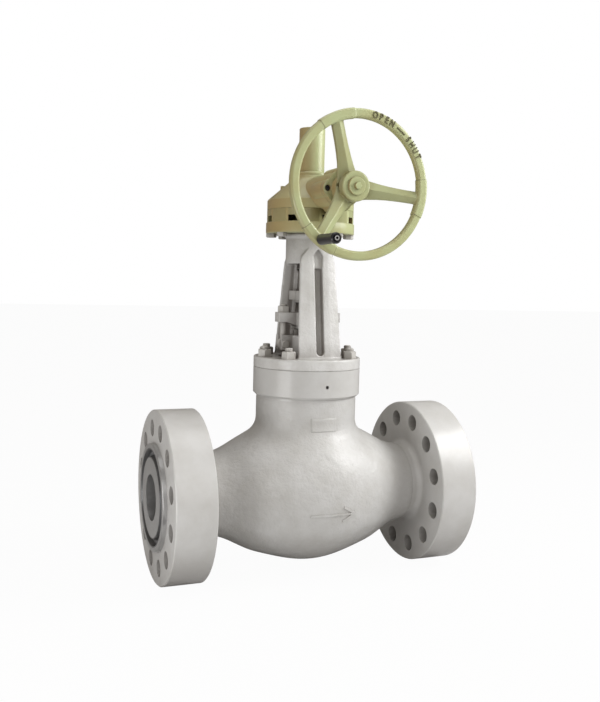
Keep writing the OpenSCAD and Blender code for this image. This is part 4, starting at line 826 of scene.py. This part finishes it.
def threaded_stem():
    """The CAD stem with its plain threaded length turned down to the core, and the thread laid round it."""
    mesh = merged_copy("stem")
    across = [math.hypot(v.co.x - STEM_X, v.co.y) for v in mesh.vertices]
    zone = [v for v, r in zip(mesh.vertices, across) if abs(r - STEM_THREAD_R) < THREAD_NEAR]
    low, high = min(v.co.z for v in zone), max(v.co.z for v in zone)
    core = STEM_THREAD_R - STEM_THREAD_DEPTH
    for vert in zone:
        vert.co.x = STEM_X + (vert.co.x - STEM_X) * core / STEM_THREAD_R
        vert.co.y *= core / STEM_THREAD_R
    start = (STEM_X, 0.0, low + STEM_THREAD_PITCH / 2)
    thread = thread_mesh("stem_thread", [start], stem_steel, Core_Radius=core, Depth=STEM_THREAD_DEPTH,
                         Pitch=STEM_THREAD_PITCH, Length=high - low - STEM_THREAD_PITCH, Left_Hand=True)
    new_object("stem_threaded", outward(joined("stem_threaded", [mesh, thread]), 1e-7), stem_steel,
               body_of_node["stem"], 30, ["stem"])


threaded_stem()

# Stud ends, each proud of its nut and chamfered at its top
STUD_CIRCLE_R = 0.149
STUD_ANGLES = (0, 45, 135, 180, 225, 315)
STUD_CHAMFER = 0.002
studs_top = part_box("yoke_studs")[1].z
nuts_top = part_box("yoke_nuts")[1].z
stud_points = [
    (STEM_X + STUD_CIRCLE_R * math.cos(math.radians(a)), STUD_CIRCLE_R * math.sin(math.radians(a)), nuts_top)
    for a in STUD_ANGLES
]
stud_threads = thread_mesh("stud_threads", stud_points, bolt_paint, Core_Radius=0.0116, Depth=0.0009,
                           Pitch=0.0030, Length=studs_top - nuts_top - STUD_CHAMFER, Steps_Per_Turn=24)
new_object("stud_threads", stud_threads, bolt_paint, "valve", 40)


# Lettering for the two turning senses, raised on the front of the rim and painted dark all over as their
# painted shadow

LETTER_SIZE = 0.0290
LETTER_NARROW = 0.72
LETTER_STEP = 0.0195
LETTER_THICK = 0.0022
LETTER_BOLD = 0.0001
OPEN_ANGLE = math.radians(71)
DASH_ANGLE = math.radians(53)
SHUT_ANGLE = math.radians(35.5)
DASH_HALF_ANGLE = math.radians(4.5)
DASH_HALF_WIDTH = 0.0012
DASH_STEPS = 8


def on_wheel(radius, angle, proud=0.0):
    """A point of the front face of the wheel, or the given height above that face."""
    return (STEM_X + radius * math.cos(angle), WHEEL_FRONT_Y - proud, WHEEL_AXIS_Z + radius * math.sin(angle))


def rim_place(angle):
    """Turns and moves a flat shape drawn in XY onto the front of the rim, its top outwards."""
    upright = Matrix.Rotation(math.pi / 2, 4, "X") @ Matrix.Rotation(angle - math.pi / 2, 4, "Z")
    return Matrix.Translation(Vector(on_wheel(RIM_MID_R, angle))) @ upright


def rim_word(text, middle_angle):
    """Letters set upright along the rim, in the plane of its front face."""
    meshes = []
    advance = LETTER_STEP / RIM_MID_R
    for place, letter in enumerate(text):
        curve = bpy.data.curves.new(letter, "FONT")
        curve.body = letter
        curve.size = LETTER_SIZE
        curve.extrude = LETTER_THICK
        curve.offset = LETTER_BOLD
        curve.align_x = "CENTER"
        curve.align_y = "CENTER"
        mesh = finished_mesh(linked_object(letter, curve))
        mesh.transform(Matrix.Diagonal((LETTER_NARROW, 1, 1, 1)))
        mesh.transform(rim_place(middle_angle - (place - (len(text) - 1) / 2) * advance))
        meshes.append(mesh)
    return joined("rim_" + text.lower(), meshes)


def rim_dash(middle_angle):
    """A raised dash that follows the rim."""
    verts, faces = [], []
    for k in range(DASH_STEPS + 1):
        angle = middle_angle + DASH_HALF_ANGLE * (2 * k / DASH_STEPS - 1)
        for radius in (RIM_MID_R - DASH_HALF_WIDTH, RIM_MID_R + DASH_HALF_WIDTH):
            verts += [on_wheel(radius, angle, -LETTER_THICK), on_wheel(radius, angle, LETTER_THICK)]
    for k in range(DASH_STEPS):
        a, b = 4 * k, 4 * k + 4
        faces += [(a + i, a + j, b + j, b + i) for i, j in ((0, 1), (1, 3), (3, 2), (2, 0))]
    end = 4 * DASH_STEPS
    faces += [(0, 1, 3, 2), (end, end + 2, end + 3, end + 1)]
    return mesh_from("rim_dash", verts, faces)


words = joined("turning_words", [
    rim_word("OPEN", OPEN_ANGLE),
    rim_dash(DASH_ANGLE),
    rim_word("SHUT", SHUT_ANGLE),
])
new_object("turning_words", outward(words, 1e-7), letter_paint, "wheel", 30)


# Stage

FLOOR_Z = -0.2765
FLOOR_REACH = 30
FLOOR_WHITE = 0.965
floor_corners = [(x * FLOOR_REACH, y * FLOOR_REACH, FLOOR_Z) for x, y in ((-1, -1), (1, -1), (1, 1), (-1, 1))]
floor_mesh = mesh_from("floor", floor_corners, [(0, 1, 2, 3)])
floor = linked_object("floor", floor_mesh)
floor_paint, floor_tree, floor_shader = new_material("studio_floor", (0.62, 0.62, 0.62), 0.9)
lit = floor_tree.nodes.new("ShaderNodeLightPath")
glow = floor_tree.nodes.new("ShaderNodeEmission")
glow.inputs["Color"].default_value = (1, 1, 1, 1)
blend = floor_tree.nodes.new("ShaderNodeMixShader")
seen = math_node(floor_tree, "MULTIPLY", lit.outputs["Is Camera Ray"], FLOOR_WHITE)
floor_tree.links.new(seen, blend.inputs[0])
floor_tree.links.new(floor_shader.outputs["BSDF"], blend.inputs[1])
floor_tree.links.new(glow.outputs["Emission"], blend.inputs[2])
floor_tree.links.new(blend.outputs["Shader"], floor_tree.nodes["Material Output"].inputs["Surface"])
floor_mesh.materials.append(floor_paint)

# The camera sees a white background, and the object is lit by a dimmer and warmer one
AMBIENT = 0.24
AMBIENT_TINT = (1.0, 0.91, 0.81)
world = bpy.data.worlds.new("studio")
bpy.context.scene.world = world
world.use_nodes = True
sky = world.node_tree
plain = sky.nodes["Background"]
to_camera = sky.nodes.new("ShaderNodeLightPath").outputs["Is Camera Ray"]
strength = math_node(sky, "ADD", math_node(sky, "MULTIPLY", to_camera, 1.0 - AMBIENT), AMBIENT)
sky.links.new(strength, plain.inputs["Strength"])
sky.links.new(mix_color(sky, to_camera, AMBIENT_TINT, (1.0, 1.0, 1.0)), plain.inputs["Color"])


def softbox(name, place, target, width, height, power):
    light = bpy.data.lights.new(name, "AREA")
    light.shape = "RECTANGLE"
    light.size = width
    light.size_y = height
    light.energy = power
    holder = linked_object(name, light)
    holder.location = place
    holder.rotation_euler = (Vector(target) - Vector(place)).to_track_quat("-Z", "Y").to_euler()


MIDDLE = (STEM_X, 0, 0.35)
softbox("key_window", (2.85, -1.25, 1.95), MIDDLE, 1.9, 2.0, 90)
softbox("top_light", (0.4, -0.2, 3.2), MIDDLE, 2.2, 2.2, 24)
softbox("front_fill", (0.1, -3.1, 1.6), MIDDLE, 2.2, 2.2, 21)
softbox("low_fill", (-1.25, -0.75, 0.05), (0.1, 0.0, 0.1), 0.9, 0.9, 12)

# Camera of the photograph
CAMERA_PLACE = Vector((STEM_X - 1.0772, -2.5962, 0.6800))
CAMERA_YAW = math.radians(22.068)
CAMERA_PITCH = math.radians(-4.498)
CAMERA_ROLL = math.radians(1.421)
lens = bpy.data.cameras.new("photo_camera")
lens.sensor_width = 36.0
lens.lens = 43.34
lens.clip_start = 0.05
camera = linked_object("photo_camera", lens)
camera.matrix_world = (
    Matrix.Translation(CAMERA_PLACE)
    @ Matrix.Rotation(-CAMERA_YAW, 4, "Z")
    @ Matrix.Rotation(math.pi / 2 + CAMERA_PITCH, 4, "X")
    @ Matrix.Rotation(CAMERA_ROLL, 4, "Z")
)
bpy.context.scene.camera = camera
bpy.context.scene.view_settings.view_transform = "Standard"
